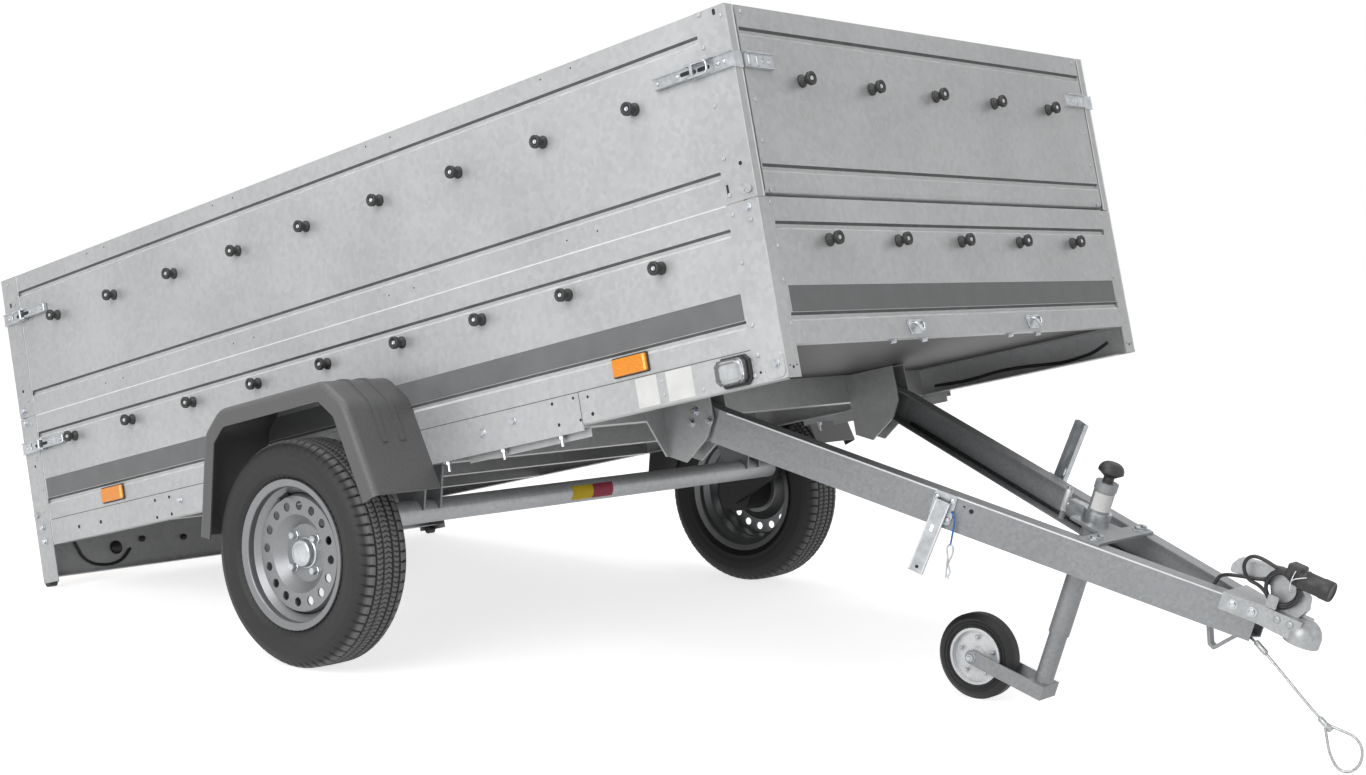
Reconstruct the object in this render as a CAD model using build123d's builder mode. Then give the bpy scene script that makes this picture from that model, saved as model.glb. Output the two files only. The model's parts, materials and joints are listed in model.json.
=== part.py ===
from build123d import *
import os
from math import asin, atan2, cos, degrees, hypot, radians, sin, sqrt, tan

os.makedirs("parts", exist_ok=True)

# Tipping utility trailer. Bed sizes run along the bed: x forward from its rear edge, z up from the
# foot of its side rails. Drawbar sizes run along the drawbar: x forward from its hinge, z up from it.
# The bed stands tipped back on its two rear rollers, and the jockey wheel carries the drawbar.
tip_angle = 30.8

# Bed box and the sheet it is folded from
bed_length = 2720.0
bed_width = 1510.0
rail_height = 72.0
rail_flange = 45.0
rail_sheet = 2.5
rail_lap_setback = 570.0
rail_strip_length = 510.0
rail_strip_drop = 14.0
lower_board_height = 302.0
upper_board_height = 404.0
post_split = 2.0
board_depth = 30.0
board_sheet = 1.5
groove_width = 18.0
groove_depth = 5.0
lower_groove_drop = 59.0
upper_groove_drop = 55.0
upper_groove_rise = 61.0
stripe_ridge_rise = 52.0
post_sheet = 2.0
front_post_width = 80.0
rear_post_width = 74.0
rear_post_drop = 103.0
upper_post_return = 30.0
lower_post_return = 48.0
moving_gap = 5.0
fit_gap = 0.3
floor_thickness = 9.0
front_board_drop = 4.0

# Pivot bolts of the boards that swing
pivot_radius = 5.0
pivot_head_radius = 9.0
pivot_head_height = 5.0
end_plate = 3.0

# Rear lamp bar and rollers
rear_bar_drop = 90.0
rear_bar_depth = 50.0
roller_radius = 12.0
roller_length = 26.0
tail_lamp_width = 215.0
tail_lamp_height = 95.0
tail_lamp_depth = 42.0
tail_lamp_inset = 195.0
tail_lamp_y = bed_width / 2 - tail_lamp_inset
tail_lamp_corner = 12.0

# Cross members under the floor
cross_depth = 45.0
front_cross_setback = 630.0
front_cross_x = bed_length - front_cross_setback
cross_positions = (560.0, 1020.0)
cross_hole_y = 442.0
cross_hole_radius = 16.0

# Knobs for the cover cord
knob_radius = 14.0
knob_neck_radius = 7.0
knob_length = 34.0
knob_flange = 9.0
knob_foot = 8.0
side_knob_first = 253.0
side_knob_setback = 279.0
side_knob_count = 9
front_knob_inset = 229.0
front_knob_count = 5
lower_knob_z = 285.0
upper_knob_z = 629.0

# Lamps and reflectors
reflector_length = 104.0
reflector_height = 44.0
reflector_depth = 8.0
rear_reflector_x = 392.0
front_reflector_setback = 406.0
reflector_x = (rear_reflector_x, bed_length - front_reflector_setback)
reflector_z = 101.0
marker_setback = 126.0
marker_x = bed_length - marker_setback
marker_z = 35.0
marker_length = 84.0
marker_height = 64.0
marker_base = 8.0
marker_depth = 36.0
marker_corner = 12.0
marker_taper = 8.0

# Running gear
axle_x = 1322.0
axle_z = -165.0
wheel_out = 116.0
wheel_centre_y = bed_width / 2 + wheel_out
tyre_radius = 273.5
tyre_width = 155.0
bulge_share = 0.45
shoulder_share = 0.16
shoulder_width_share = 0.9
tread_width_share = 0.7
rim_radius = 181.0
rim_width = 124.0
rim_flange = 15.0
bead_radius = rim_radius - rim_flange
well_depth = 31.0
well_radius = rim_radius - well_depth
rim_sheet = 4.0
bead_seat = 20.0
disc_seat = 10.0
disc_crown = 30.0
disc_dish = 6.0
vent_count = 16
vent_inset = 65.0
vent_ring = rim_radius - vent_inset
vent_radius = 11.0
hub_radius = 58.0
hub_cap_radius = 32.0
hub_cap_rise = 22.0
stub_out = 20.0
stub_radius = 17.0
shaft_gap = 0.05
arm_lead = 158.0
arm_rise = 55.0
tube_x = axle_x + arm_lead
tube_z = axle_z + arm_rise
tube_radius = 29.0
tube_wall = 5.0
arm_thickness = 22.0
arm_radius = 36.0
arm_gap = 8.0
saddle_inset = 115.0
saddle_y = bed_width / 2 - saddle_inset
saddle_width = 60.0
saddle_length = 130.0
saddle_sheet = 6.0

# Mudguards, outline as x from the axle and z on the bed
guard_reach = 202.0
guard_outer_y = bed_width / 2 + guard_reach
guard_wall = 4.0
guard_lip = 46.0
guard_bend = 60.0
guard_edge = 18.0
guard_rib_width = 14.0
guard_rib_height = 3.0
guard_rib_shares = (0.45, 0.72)
guard_rib_end = 0.45
guard_outline = ((-312, -77), (-236, 166), (-168, 216), (226, 216), (292, 151), (352, -71))

# Drawbar
hinge_setback = 536.0
hinge_x = bed_length - hinge_setback
hinge_z = -10.0
hinge_pin_radius = 8.0
hinge_washer = 4.7
bracket_plate = 5.0
bracket_flange = 62.0
bracket_flange_foot = 10.0
bracket_head = 70.0
bracket_heel = -88.0
bracket_reach = ((146, bracket_head), (150, -20), (125, -62), (50, -110))
bracket_outline = ((0, bracket_head), *bracket_reach, (0, bracket_heel))
beam_height = 80.0
beam_flange = 40.0
beam_sheet = 3.0
beam_rear_y = 404.0
beam_front_y = 30.0
beam_start_x = -35.0
beam_bend_x = 60.0
beam_end_x = 1264.0
bridge_start_x = 880.0
bridge_end_x = 922.0
bridge_sheet = 6.0
bridge_edge = 8.0
tongue_half = 44.0
tongue_reach = 46.0

# Latches on the beams and their catches on the bed; handles as middle, foot and head on the beam's face
latch_x = 594.0
latch_width = 52.0
latch_height = 71.0
latch_rise = 5.0
latch_corner = 10.0
latch_sheet = 4.0
handle_width = 34.0
handle_depth = 14.0
handle_sheet = 3.0
handle_lean = -5.0
handle_slot = 20.0
handle_slot_width = 8.0
handle_slot_inset = 34.0
right_handle = (-8.0, -153.0, 24.0)
left_handle = (16.0, 20.0, 184.0)
latch_cord_radius = 2.0
latch_cord_places = ((22, 4, 7), (33, -2, 11), (38, -22, 13), (40, -46, 12), (43, -68, 13))
catch_y = 258.0
catch_rise = 20.0
catch_width = 66.0
catch_height = 34.0
catch_sheet = 5.0
catch_depth = 18.0

# Coupling
ball_x = 1358.0
ball_z = 12.0
ball_radius = 25.0
ball_gap = 0.2
socket_skirt = 16.0
nose_radius = 38.0
coupling_start_x = 1188.0
coupling_sheet = 4.0
cover_lap = 8.0
cover_hem = 6.0
neck_half = 33.0
lever_width = 26.0
lever_bend = 6.0
lever_profile = ((1170, 77), (1170, 96), (1180, 112), (1267, 128), (1300, 124), (1345, 92), (1350, 66))
lever_belly = ((1262, 86), (1231, 88), (1201, 82))
lever_heel_x = 1280.0
lever_toe_x = 1340.0

# Cable rest, as places from its middle and drops below the beams
rest_x = 1195.0
rest_bar = 7.0
rest_width = 20.0
rest_bend = ((-45, -6), (-20, 52), (-5, 58), (46, -6))

# Jockey wheel
stem_x = 838.0
stem_top = 140.0
stem_foot = -225.0
stem_radius = 24.0
slider_radius = 21.0
slider_bore = 18.0
slider_overlap = 150.0
swivel_length = 60.0
stem_cap = 4.0
stem_collar = 18.0
stem_collar_wall = 2.0
dome_neck_radius = 12.0
dome_neck_height = 14.0
dome_radius = 29.0
dome_rim_rise = 24.0
dome_rise = 46.0
dome_taper = 55.0
dome_round = 20.0
fork_trail = 172.0
fork_plate = 5.0
fork_height = 34.0
fork_gap = 6.0
jockey_radius = 100.0
jockey_width = 50.0
jockey_rim_radius = 66.0
jockey_hub_radius = 22.0
jockey_lip = 4.0
jockey_web = 6.0
jockey_pin_radius = 10.0
clamp_height = 30.0
clamp_wall = 7.0
clamp_ear = 44.0
clamp_ear_width = 26.0
clamp_screw_radius = 5.0
toggle_back = 81.0
toggle_radius = 6.5
toggle_length = 77.0

# Corner latches, as corner, which way it points along the bed, height, and the post's flange there
corner_latch_length = 205.0
corner_latch_height = 34.0
corner_latch_sheet = 4.0
corner_latch_depth = 22.0
keeper_length = 95.0
lower_latch_z = 286.0
upper_latch_z = 661.0
latch_corners = (
    (0.0, -1, lower_latch_z, lower_post_return),
    (0.0, -1, upper_latch_z, upper_post_return),
    (bed_length, 1, upper_latch_z, upper_post_return),
)

# Safety cable: places from its start, then round its loop with the share of its height above the floor
safety_radius = 3.0
cable_x = 1260.8
cable_y = -14.0
cable_z = -36.0
ferrule_length = 34.0
ferrule_width = 13.2
ferrule_depth = 8.4
ferrule_corner = 3.6
bend_share = 0.45
safety_places = ((0, 0, 0), (30, -16, -14), (92, -18, -72), (150, -18, -128), (176, -18, -150))
loop_places = (
    (0, 3, 0),
    (28, 5, 0.08),
    (58, 8, 0.17),
    (77, 8, 0.4),
    (76, 5, 0.78),
    (58, 1, 1),
    (34, -4, 1),
    (17, -6, 0.72),
    (8, -5, 0.42),
    (0, -3, 0),
)

# Lighting cable: its run in the left beam, the coil beside the lever, and the plug on the coil
lead_radius = 4.0
lead_rear_x = 90.0
lead_front_x = 1060.0
lead_straight = 45.0
lead_places = ((-158, 46, -64), (-140, 14, -30), (-100, 3, -14))
lead_gap = 1.5
plug_start = 15.0
plug_places = ((-75, -7, -10), (-90, -17, 18), (-78, -25, 46), (-46, -29, 52))
coil_x = 1292.0
coil_radius = 37.0
coil_tube = 10.0
coil_sides = 8
plug_radius = 22.0
plug_length = 92.0
plug_x = 1310.0
plug_rise = 45.0
boot_length = 32.0
boot_share = 0.6
boot_taper = 12.0

# Wiring on the bed: setback from the bed's front and height, then inset from its right side and height
rail_wiring_places = ((611, 21), (508, 16), (405, 24), (329, 22), (205, 10), (116, 19), (70, 38))
lamp_wiring_places = ((112, 4), (133, -45), (166, -66), (220, -75), (268, -64), (297, -34))

# Stance: the bed tips until its rollers stand on the floor beside the tyres
roller_x = 14.0
roller_z = -rear_bar_drop - fit_gap - roller_radius
reach = hypot(axle_x - roller_x, axle_z - roller_z)
bed_pitch = degrees(
    asin((tyre_radius - roller_radius) / reach) - atan2(axle_z - roller_z, axle_x - roller_x)
)
bar_pitch = tip_angle - bed_pitch
bed_dir = Vector(cos(radians(bed_pitch)), 0, sin(radians(bed_pitch)))
bed_up = Vector(-sin(radians(bed_pitch)), 0, cos(radians(bed_pitch)))
bar_dir = Vector(cos(radians(bar_pitch)), 0, -sin(radians(bar_pitch)))
bar_up = Vector(sin(radians(bar_pitch)), 0, cos(radians(bar_pitch)))

# Levels up the bed, and its side face behind the posts
half_width = bed_width / 2
rail_outer_y = half_width - post_sheet
lower_head = rail_height + lower_board_height
upper_foot = lower_head
bed_top = upper_foot + upper_board_height

# The origin lies on the floor, midway between the bed's rear top edge and the coupling's nose
hinge_from_bed = bed_dir * hinge_x + bed_up * hinge_z
ball_from_bed = hinge_from_bed + bar_dir * ball_x + bar_up * ball_z
rear_reach = (bed_up * bed_top).X
nose_reach = ball_from_bed.X + nose_radius
axle_from_bed = bed_dir * axle_x + bed_up * axle_z
bed_origin = Vector(-(rear_reach + nose_reach) / 2, 0, tyre_radius - axle_from_bed.Z)
hinge_point = bed_origin + hinge_from_bed

# Working planes: flat on the bed or drawbar, upright along it seen from its right side, and across it
bed = Plane(origin=bed_origin, x_dir=bed_dir, z_dir=bed_up)
bed_side = Plane(origin=bed_origin, x_dir=bed_dir, z_dir=(0, -1, 0))
bed_front = Plane(origin=bed_origin, x_dir=(0, 1, 0), z_dir=bed_dir)
bar = Plane(origin=hinge_point, x_dir=bar_dir, z_dir=bar_up)
bar_side = Plane(origin=hinge_point, x_dir=bar_dir, z_dir=(0, -1, 0))
bar_front = Plane(origin=hinge_point, x_dir=(0, 1, 0), z_dir=bar_dir)


def keep(piece, name):
    """Labels a finished piece and writes its file."""
    piece.label = name
    export_step(piece, f"parts/{name}.step")


def keep_pair(right_piece, name):
    """Keeps a right-hand piece and its mirror image on the left."""
    keep(right_piece, f"{name}_right")
    keep(mirror(right_piece, about=Plane.XZ), f"{name}_left")


def keep_both(right_piece, name):
    """Keeps a right-hand piece and its mirror image as one node."""
    with BuildPart() as both:
        add(right_piece)
        mirror(about=Plane.XZ)
    keep(both.part, name)


def pressed_face(foot, head, grooves):
    """Inset and height of a board's face from foot to head, with its pressed grooves."""
    face = [(0, foot)]
    for level in grooves:
        face += [
            (0, level - groove_width / 2),
            (groove_depth, level - groove_width / 6),
            (groove_depth, level + groove_width / 6),
            (0, level + groove_width / 2),
        ]
    return face + [(0, head)]


def side_board(foot, head, grooves):
    """A right side board: a pressed sheet with folded edges, along the bed."""
    start = board_depth + moving_gap
    outer = -half_width + post_sheet
    with BuildPart() as board:
        with BuildSketch(bed_front.offset(start)):
            with BuildLine():
                face = [(outer + inset, level) for inset, level in pressed_face(foot, head, grooves)]
                Polyline((outer + board_depth, foot), *face, (outer + board_depth, head))
                offset(amount=board_sheet, side=Side.RIGHT)
            make_face()
        extrude(amount=bed_length - 2 * start)
    return board.part


def swing_board(outer_x, inward, foot, head, grooves, half_span, keeper_z):
    """A board that swings: rolled at its foot about the pivot, folded at its head, plated at its ends."""
    inner_x = outer_x + inward * board_depth
    roll = board_depth / 2
    pivot = (outer_x + inward * roll, foot + roll)
    with BuildPart() as board:
        with BuildSketch(bed_side.offset(-half_span)):
            with BuildLine():
                face = [(outer_x + inward * inset, level)
                        for inset, level in pressed_face(pivot[1], head, grooves)]
                Line((inner_x, pivot[1] + roll), (inner_x, pivot[1]))
                ThreePointArc((inner_x, pivot[1]), (pivot[0], foot), face[0])
                Polyline(*face, (inner_x, head))
                offset(amount=board_sheet, side=Side.LEFT if inward < 0 else Side.RIGHT)
            make_face()
        extrude(amount=2 * half_span)
        with BuildSketch(bed_side.offset(-half_span), bed_side.offset(half_span - end_plate)):
            with BuildLine():
                ThreePointArc((inner_x, pivot[1]), (pivot[0], foot), (outer_x, pivot[1]))
                Polyline((outer_x, pivot[1]), (outer_x, head), (inner_x, head), (inner_x, pivot[1]))
            make_face()
        extrude(amount=end_plate)
        with BuildSketch(bed_side):
            with Locations(pivot):
                Circle(pivot_radius + fit_gap)
        extrude(amount=half_span, both=True, mode=Mode.SUBTRACT)
        keeper_y = half_span - keeper_length / 2
        with BuildSketch(bed_front.offset(outer_x)):
            with Locations((-keeper_y, keeper_z), (keeper_y, keeper_z)):
                Rectangle(keeper_length, corner_latch_height)
        extrude(amount=-inward * corner_latch_sheet)
    return board.part


def knob_row(plane, places):
    """Cover-cord knobs standing out of a plane: a foot, a neck and a round head."""
    with BuildPart() as knobs:
        with BuildSketch(plane):
            with Locations(*places):
                Circle(knob_radius)
        extrude(amount=knob_foot)
        with BuildSketch(plane):
            with Locations(*places):
                Circle(knob_neck_radius)
        extrude(amount=knob_length)
        with BuildSketch(plane.offset(knob_length - knob_flange)):
            with Locations(*places):
                Circle(knob_radius)
        extrude(amount=knob_flange)
    return knobs.part


# Side boards, lower and upper
lower_grooves = (rail_height + stripe_ridge_rise, lower_head - lower_groove_drop)
upper_grooves = (upper_foot + upper_groove_rise, bed_top - upper_groove_drop)
keep_pair(side_board(rail_height, lower_head, lower_grooves), "lower_side")
keep_pair(side_board(upper_foot, bed_top, upper_grooves), "upper_side")

# Boards across the bed: the lower front one is fixed, the other three swing on pivot bolts
upper_half_span = half_width - upper_post_return - moving_gap
gate_half_span = half_width - lower_post_return - moving_gap
swing_upper_foot = lower_head + moving_gap
gate_foot = rail_height + moving_gap
upper_board = (swing_upper_foot, bed_top, upper_grooves, upper_half_span, upper_latch_z)
lower_board = (gate_foot, lower_head, lower_grooves, gate_half_span, lower_latch_z)
for name, outer_x, inward, board_sizes in (
    ("front_upper_board", bed_length, -1, upper_board),
    ("rear_upper_gate", 0, 1, upper_board),
    ("rear_lower_gate", 0, 1, lower_board),
):
    keep(swing_board(outer_x, inward, *board_sizes), name)

front_board_foot = rail_height - front_board_drop
front_board_half_span = half_width - lower_post_return - fit_gap
with BuildPart() as front_lower_board:
    with BuildSketch(bed_side.offset(-front_board_half_span)):
        with BuildLine():
            face = [(bed_length - inset, level)
                    for inset, level in pressed_face(front_board_foot, lower_head, lower_grooves)]
            back = bed_length - board_depth
            Polyline((back, front_board_foot), *face, (back, lower_head))
            offset(amount=board_sheet, side=Side.LEFT)
        make_face()
    extrude(amount=2 * front_board_half_span)
keep(front_lower_board.part, "front_lower_board")


def corner_post(outer_x, inward, width, pivots, spans):
    """A right corner post: an angle of sheet in lengths, with the pivot bolts of the boards beside it.

    Pivots are x, z and the board's half span; spans are foot, head and the flange across the bed.
    """
    outer_y = -half_width
    with BuildPart() as post:
        for foot, head, flange in spans:
            with BuildSketch(bed.offset(foot)):
                with BuildLine():
                    Polyline(
                        (outer_x + inward * width, outer_y),
                        (outer_x, outer_y),
                        (outer_x, outer_y + flange),
                    )
                    offset(amount=post_sheet, side=Side.RIGHT if inward > 0 else Side.LEFT)
                make_face()
            extrude(amount=head - foot)
        for x, z, half_span in pivots:
            with BuildSketch(bed_side.offset(half_width)):
                with Locations((x, z)):
                    Circle(pivot_head_radius)
            extrude(amount=pivot_head_height)
            with BuildSketch(bed_side.offset(half_width)):
                with Locations((x, z)):
                    Circle(pivot_radius)
            extrude(amount=-(half_width - half_span + 2 * end_plate))
    return post.part


upper_pivot_z = swing_upper_foot + board_depth / 2
gate_pivot_z = gate_foot + board_depth / 2
upper_span = (upper_foot, bed_top, upper_post_return)
front_pivots = ((bed_length - board_depth / 2, upper_pivot_z, upper_half_span),)
rear_pivots = (
    (board_depth / 2, upper_pivot_z, upper_half_span),
    (board_depth / 2, gate_pivot_z, gate_half_span),
)
front_spans = ((0, lower_head - post_split, lower_post_return), upper_span)
rear_spans = ((-rear_post_drop, lower_head - post_split, lower_post_return), upper_span)
keep_both(corner_post(bed_length, -1, front_post_width, front_pivots, front_spans), "front_posts")
keep_both(corner_post(0, 1, rear_post_width, rear_pivots, rear_spans), "rear_posts")

# Side rails: channels with their open side to the middle
rail_start = post_sheet + rear_bar_depth + fit_gap
rail_outer = -half_width + post_sheet
with BuildPart() as side_rail:
    with BuildSketch(bed_front.offset(rail_start)):
        with BuildLine():
            Polyline(
                (rail_outer + rail_flange, 0),
                (rail_outer, 0),
                (rail_outer, rail_height),
                (rail_outer + rail_flange, rail_height),
            )
            offset(amount=rail_sheet, side=Side.RIGHT)
        make_face()
    extrude(amount=bed_length - board_depth - fit_gap - rail_start)
    lap_end = bed_length - front_post_width - fit_gap
    with BuildSketch(bed_side.offset(rail_outer_y)):
        with BuildLine():
            lap_start = bed_length - rail_lap_setback
            Polyline(
                (lap_start, 0),
                (lap_end, 0),
                (lap_end, rail_height - fit_gap),
                (lap_start, rail_height - fit_gap),
                close=True,
            )
        make_face()
    extrude(amount=post_sheet)
    with BuildSketch(bed_side.offset(rail_outer_y - rail_sheet)):
        with Locations((lap_start - rail_strip_length / 2, -rail_strip_drop / 2)):
            Rectangle(rail_strip_length, rail_strip_drop)
    extrude(amount=rail_sheet)
keep_pair(side_rail.part, "side_rail")

# Cross members between the rails, channels open to the rear
cross_half_span = half_width - post_sheet - rail_flange
cross_fronts = (front_cross_x, tube_x + cross_depth / 2, *(x + cross_depth for x in cross_positions))
with BuildPart() as cross_members:
    for cross_front in cross_fronts:
        with BuildSketch(bed_side.offset(-cross_half_span)):
            with BuildLine():
                Polyline(
                    (cross_front - cross_depth, 0),
                    (cross_front, 0),
                    (cross_front, rail_height),
                    (cross_front - cross_depth, rail_height),
                )
                offset(amount=rail_sheet, side=Side.LEFT)
            make_face()
        extrude(amount=2 * cross_half_span)
    with BuildSketch(bed_front.offset(front_cross_x)):
        with Locations((-cross_hole_y, rail_height / 2), (cross_hole_y, rail_height / 2)):
            Circle(cross_hole_radius)
    extrude(amount=-2 * rail_sheet, mode=Mode.SUBTRACT)
keep(cross_members.part, "cross_members")

# Load floor of plywood on the rails and cross members
with BuildPart() as load_floor:
    with BuildSketch(bed.offset(rail_height)):
        floor_start = board_depth + moving_gap
        floor_length = bed_length - board_depth - floor_start
        floor_half = half_width - post_sheet - board_depth
        with Locations((floor_start + floor_length / 2, 0)):
            Rectangle(floor_length, 2 * floor_half)
    extrude(amount=floor_thickness)
keep(load_floor.part, "load_floor")

# Rear lamp bar: a channel across the foot of the rear posts
with BuildPart() as rear_lamp_bar:
    with BuildSketch(bed_side.offset(-(half_width - post_sheet))):
        with BuildLine():
            Polyline(
                (post_sheet + rear_bar_depth, -rear_bar_drop),
                (post_sheet, -rear_bar_drop),
                (post_sheet, rail_height),
                (post_sheet + rear_bar_depth, rail_height),
            )
            offset(amount=rail_sheet, side=Side.RIGHT)
        make_face()
    extrude(amount=bed_width - 2 * post_sheet)
keep(rear_lamp_bar.part, "rear_lamp_bar")

# Tail lamps on the bar
with BuildPart() as tail_lamp:
    with BuildSketch(bed_front.offset(post_sheet)):
        with Locations((-tail_lamp_y, (rail_height - rear_bar_drop) / 2)):
            RectangleRounded(tail_lamp_width, tail_lamp_height, tail_lamp_corner)
    extrude(amount=-tail_lamp_depth)
keep_both(tail_lamp.part, "tail_lamps")

# Rollers at the foot of the rear posts
with BuildPart() as rear_roller:
    with BuildSketch(bed_side.offset(half_width - post_sheet)):
        with Locations((roller_x, roller_z)):
            Circle(roller_radius)
    extrude(amount=-roller_length)
keep_both(rear_roller.part, "rear_rollers")

# Knobs on the boards
side_knob_pitch = (bed_length - side_knob_first - side_knob_setback) / (side_knob_count - 1)
front_knob_pitch = (bed_width - 2 * front_knob_inset) / (front_knob_count - 1)
side_places = [side_knob_first + i * side_knob_pitch for i in range(side_knob_count)]
front_places = [(i - (front_knob_count - 1) / 2) * front_knob_pitch for i in range(front_knob_count)]
side_face = bed_side.offset(half_width - post_sheet)
front_face = bed_front.offset(bed_length)
rear_face = Plane(origin=bed_origin, x_dir=(0, -1, 0), z_dir=-bed_dir)
levels = (lower_knob_z, upper_knob_z)
with BuildPart() as bed_knobs:
    add(knob_row(side_face, [(x, z) for z in levels for x in side_places]))
    mirror(about=Plane.XZ)
    add(knob_row(front_face, [(y, lower_knob_z) for y in front_places]))
keep(bed_knobs.part, "bed_knobs")
keep(knob_row(front_face, [(y, upper_knob_z) for y in front_places]), "front_upper_knobs")
keep(knob_row(rear_face, [(y, lower_knob_z) for y in front_places]), "rear_lower_knobs")
keep(knob_row(rear_face, [(y, upper_knob_z) for y in front_places]), "rear_upper_knobs")

# Side reflectors and front marker lamps
with BuildPart() as side_reflectors:
    with BuildSketch(side_face):
        with Locations(*[(x, reflector_z) for x in reflector_x]):
            Rectangle(reflector_length, reflector_height)
    extrude(amount=reflector_depth)
keep_both(side_reflectors.part, "side_reflectors")

with BuildPart() as marker_lamp:
    for rise, depth, inset, taper in (
        (0, marker_base, 0, 0),
        (marker_base, marker_depth - marker_base, marker_base, marker_taper),
    ):
        with BuildSketch(bed_side.offset(half_width + rise)):
            with Locations((marker_x, marker_z)):
                Rectangle(marker_length - inset, marker_height - inset)
            chamfer(vertices(), marker_corner)
        extrude(amount=depth, taper=taper)
keep_both(marker_lamp.part, "marker_lamps")

# Mudguards: an arch with a rounded outer edge and lip, carried along its outline, and two ribs over it
guard_points = [(axle_x + x, z) for x, z in guard_outline]
guard_depth = guard_outer_y - rail_outer_y
rib_ends = [
    tuple(a + (b - a) * guard_rib_end for a, b in zip(outer, inner))
    for inner, outer in (guard_points[:2], guard_points[:-3:-1])
]
with BuildPart() as mudguard:
    with BuildLine(bed_side.offset(rail_outer_y)) as guard_line:
        FilletPolyline(*guard_points, radius=guard_bend)
    guard_start = guard_line.line
    with BuildSketch(Plane(origin=guard_start @ 0, x_dir=(0, -1, 0), z_dir=guard_start % 0)):
        with BuildLine():
            FilletPolyline((0, 0), (guard_depth, 0), (guard_depth, guard_lip), radius=guard_edge)
            offset(amount=guard_wall, side=Side.LEFT)
        make_face()
    sweep(path=guard_line.line)
    for share in guard_rib_shares:
        with BuildSketch(bed_side.offset(guard_outer_y - guard_depth * share)):
            with BuildLine():
                FilletPolyline(rib_ends[0], *guard_points[1:-1], rib_ends[1], radius=guard_bend)
                offset(amount=guard_rib_height, side=Side.LEFT)
            make_face()
        extrude(amount=guard_rib_width)
keep_pair(mudguard.part, "mudguard")

# Axle tube in saddles under the rails
with BuildPart() as axle_tube:
    with BuildSketch(bed_side.offset(-half_width)):
        with Locations((tube_x, tube_z)):
            Circle(tube_radius)
            Circle(tube_radius - tube_wall, mode=Mode.SUBTRACT)
    extrude(amount=bed_width)
keep(axle_tube.part, "axle_tube")

# Saddles that hold the tube under the rails: a plate each side of a folded web
with BuildPart() as axle_saddle:
    with BuildSketch(bed_side.offset(saddle_y - saddle_width / 2)):
        with BuildLine():
            Polyline(
                (tube_x - saddle_length / 2, 0),
                (tube_x - saddle_length / 2, -saddle_sheet * 2),
                (tube_x - tube_radius - saddle_sheet, tube_z),
                (tube_x + tube_radius + saddle_sheet, tube_z),
                (tube_x + saddle_length / 2, -saddle_sheet * 2),
                (tube_x + saddle_length / 2, 0),
                close=True,
            )
        make_face()
        with Locations((tube_x, tube_z)):
            Circle(tube_radius + fit_gap, mode=Mode.SUBTRACT)
    extrude(amount=saddle_width)
    with BuildSketch(bed_side.offset(saddle_y - saddle_width / 2 + saddle_sheet)):
        with Locations((tube_x, tube_z / 2 - saddle_sheet * 2)):
            Rectangle(saddle_length, -tube_z + saddle_sheet * 2)
    extrude(amount=saddle_width - 2 * saddle_sheet, mode=Mode.SUBTRACT)
keep_both(axle_saddle.part, "axle_saddles")

# Trailing arms with the stub shafts that carry the wheels
arm_outer = half_width + fit_gap + arm_thickness
arm_run = hypot(tube_x - axle_x, tube_z - axle_z)
arm_lean = degrees(atan2(tube_z - axle_z, tube_x - axle_x))
stub_end = wheel_centre_y + stub_out
with BuildPart() as trailing_arm:
    with BuildSketch(bed_side.offset(half_width + fit_gap)):
        with Locations(((tube_x + axle_x) / 2, (tube_z + axle_z) / 2)):
            SlotCenterToCenter(arm_run, 2 * arm_radius, rotation=arm_lean)
    extrude(amount=arm_thickness)
    with BuildSketch(bed_side.offset(arm_outer)):
        with Locations((axle_x, axle_z)):
            Circle(stub_radius)
    extrude(amount=stub_end - arm_outer)
keep_pair(trailing_arm.part, "trailing_arm")

# Road wheels: a plane through the wheel's centre, radius along its x, width along its y
wheel_plane = Plane(
    origin=bed_origin + axle_from_bed + Vector(0, -wheel_centre_y, 0), x_dir=(0, 0, 1), z_dir=(1, 0, 0)
)
wheel_axis = Axis(wheel_plane.origin, (0, -1, 0))


def both_halves(half_section):
    """A wheel's outer half section of radius and width, closed by its mirror image."""
    return [*half_section, *[(radius, -width) for radius, width in reversed(half_section)]]


def revolved(points, plane, axis):
    """A closed section of radius and outward width, turned about the wheel's axis."""
    with BuildPart() as ring:
        with BuildSketch(plane):
            with BuildLine():
                Polyline(*points, close=True)
            make_face()
        revolve(axis=axis)
    return ring.part


half_rim = rim_width / 2
half_tyre = tyre_width / 2
bead_half = half_rim - rim_sheet - fit_gap
tyre_flank = tyre_radius - rim_radius
tyre_half_section = (
    (bead_radius + fit_gap, bead_half),
    (rim_radius, bead_half),
    (rim_radius + tyre_flank * bulge_share, half_tyre),
    (tyre_radius - tyre_flank * shoulder_share, half_tyre * shoulder_width_share),
    (tyre_radius, half_tyre * tread_width_share),
)
keep_pair(revolved(both_halves(tyre_half_section), wheel_plane, wheel_axis), "tyre")

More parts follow.
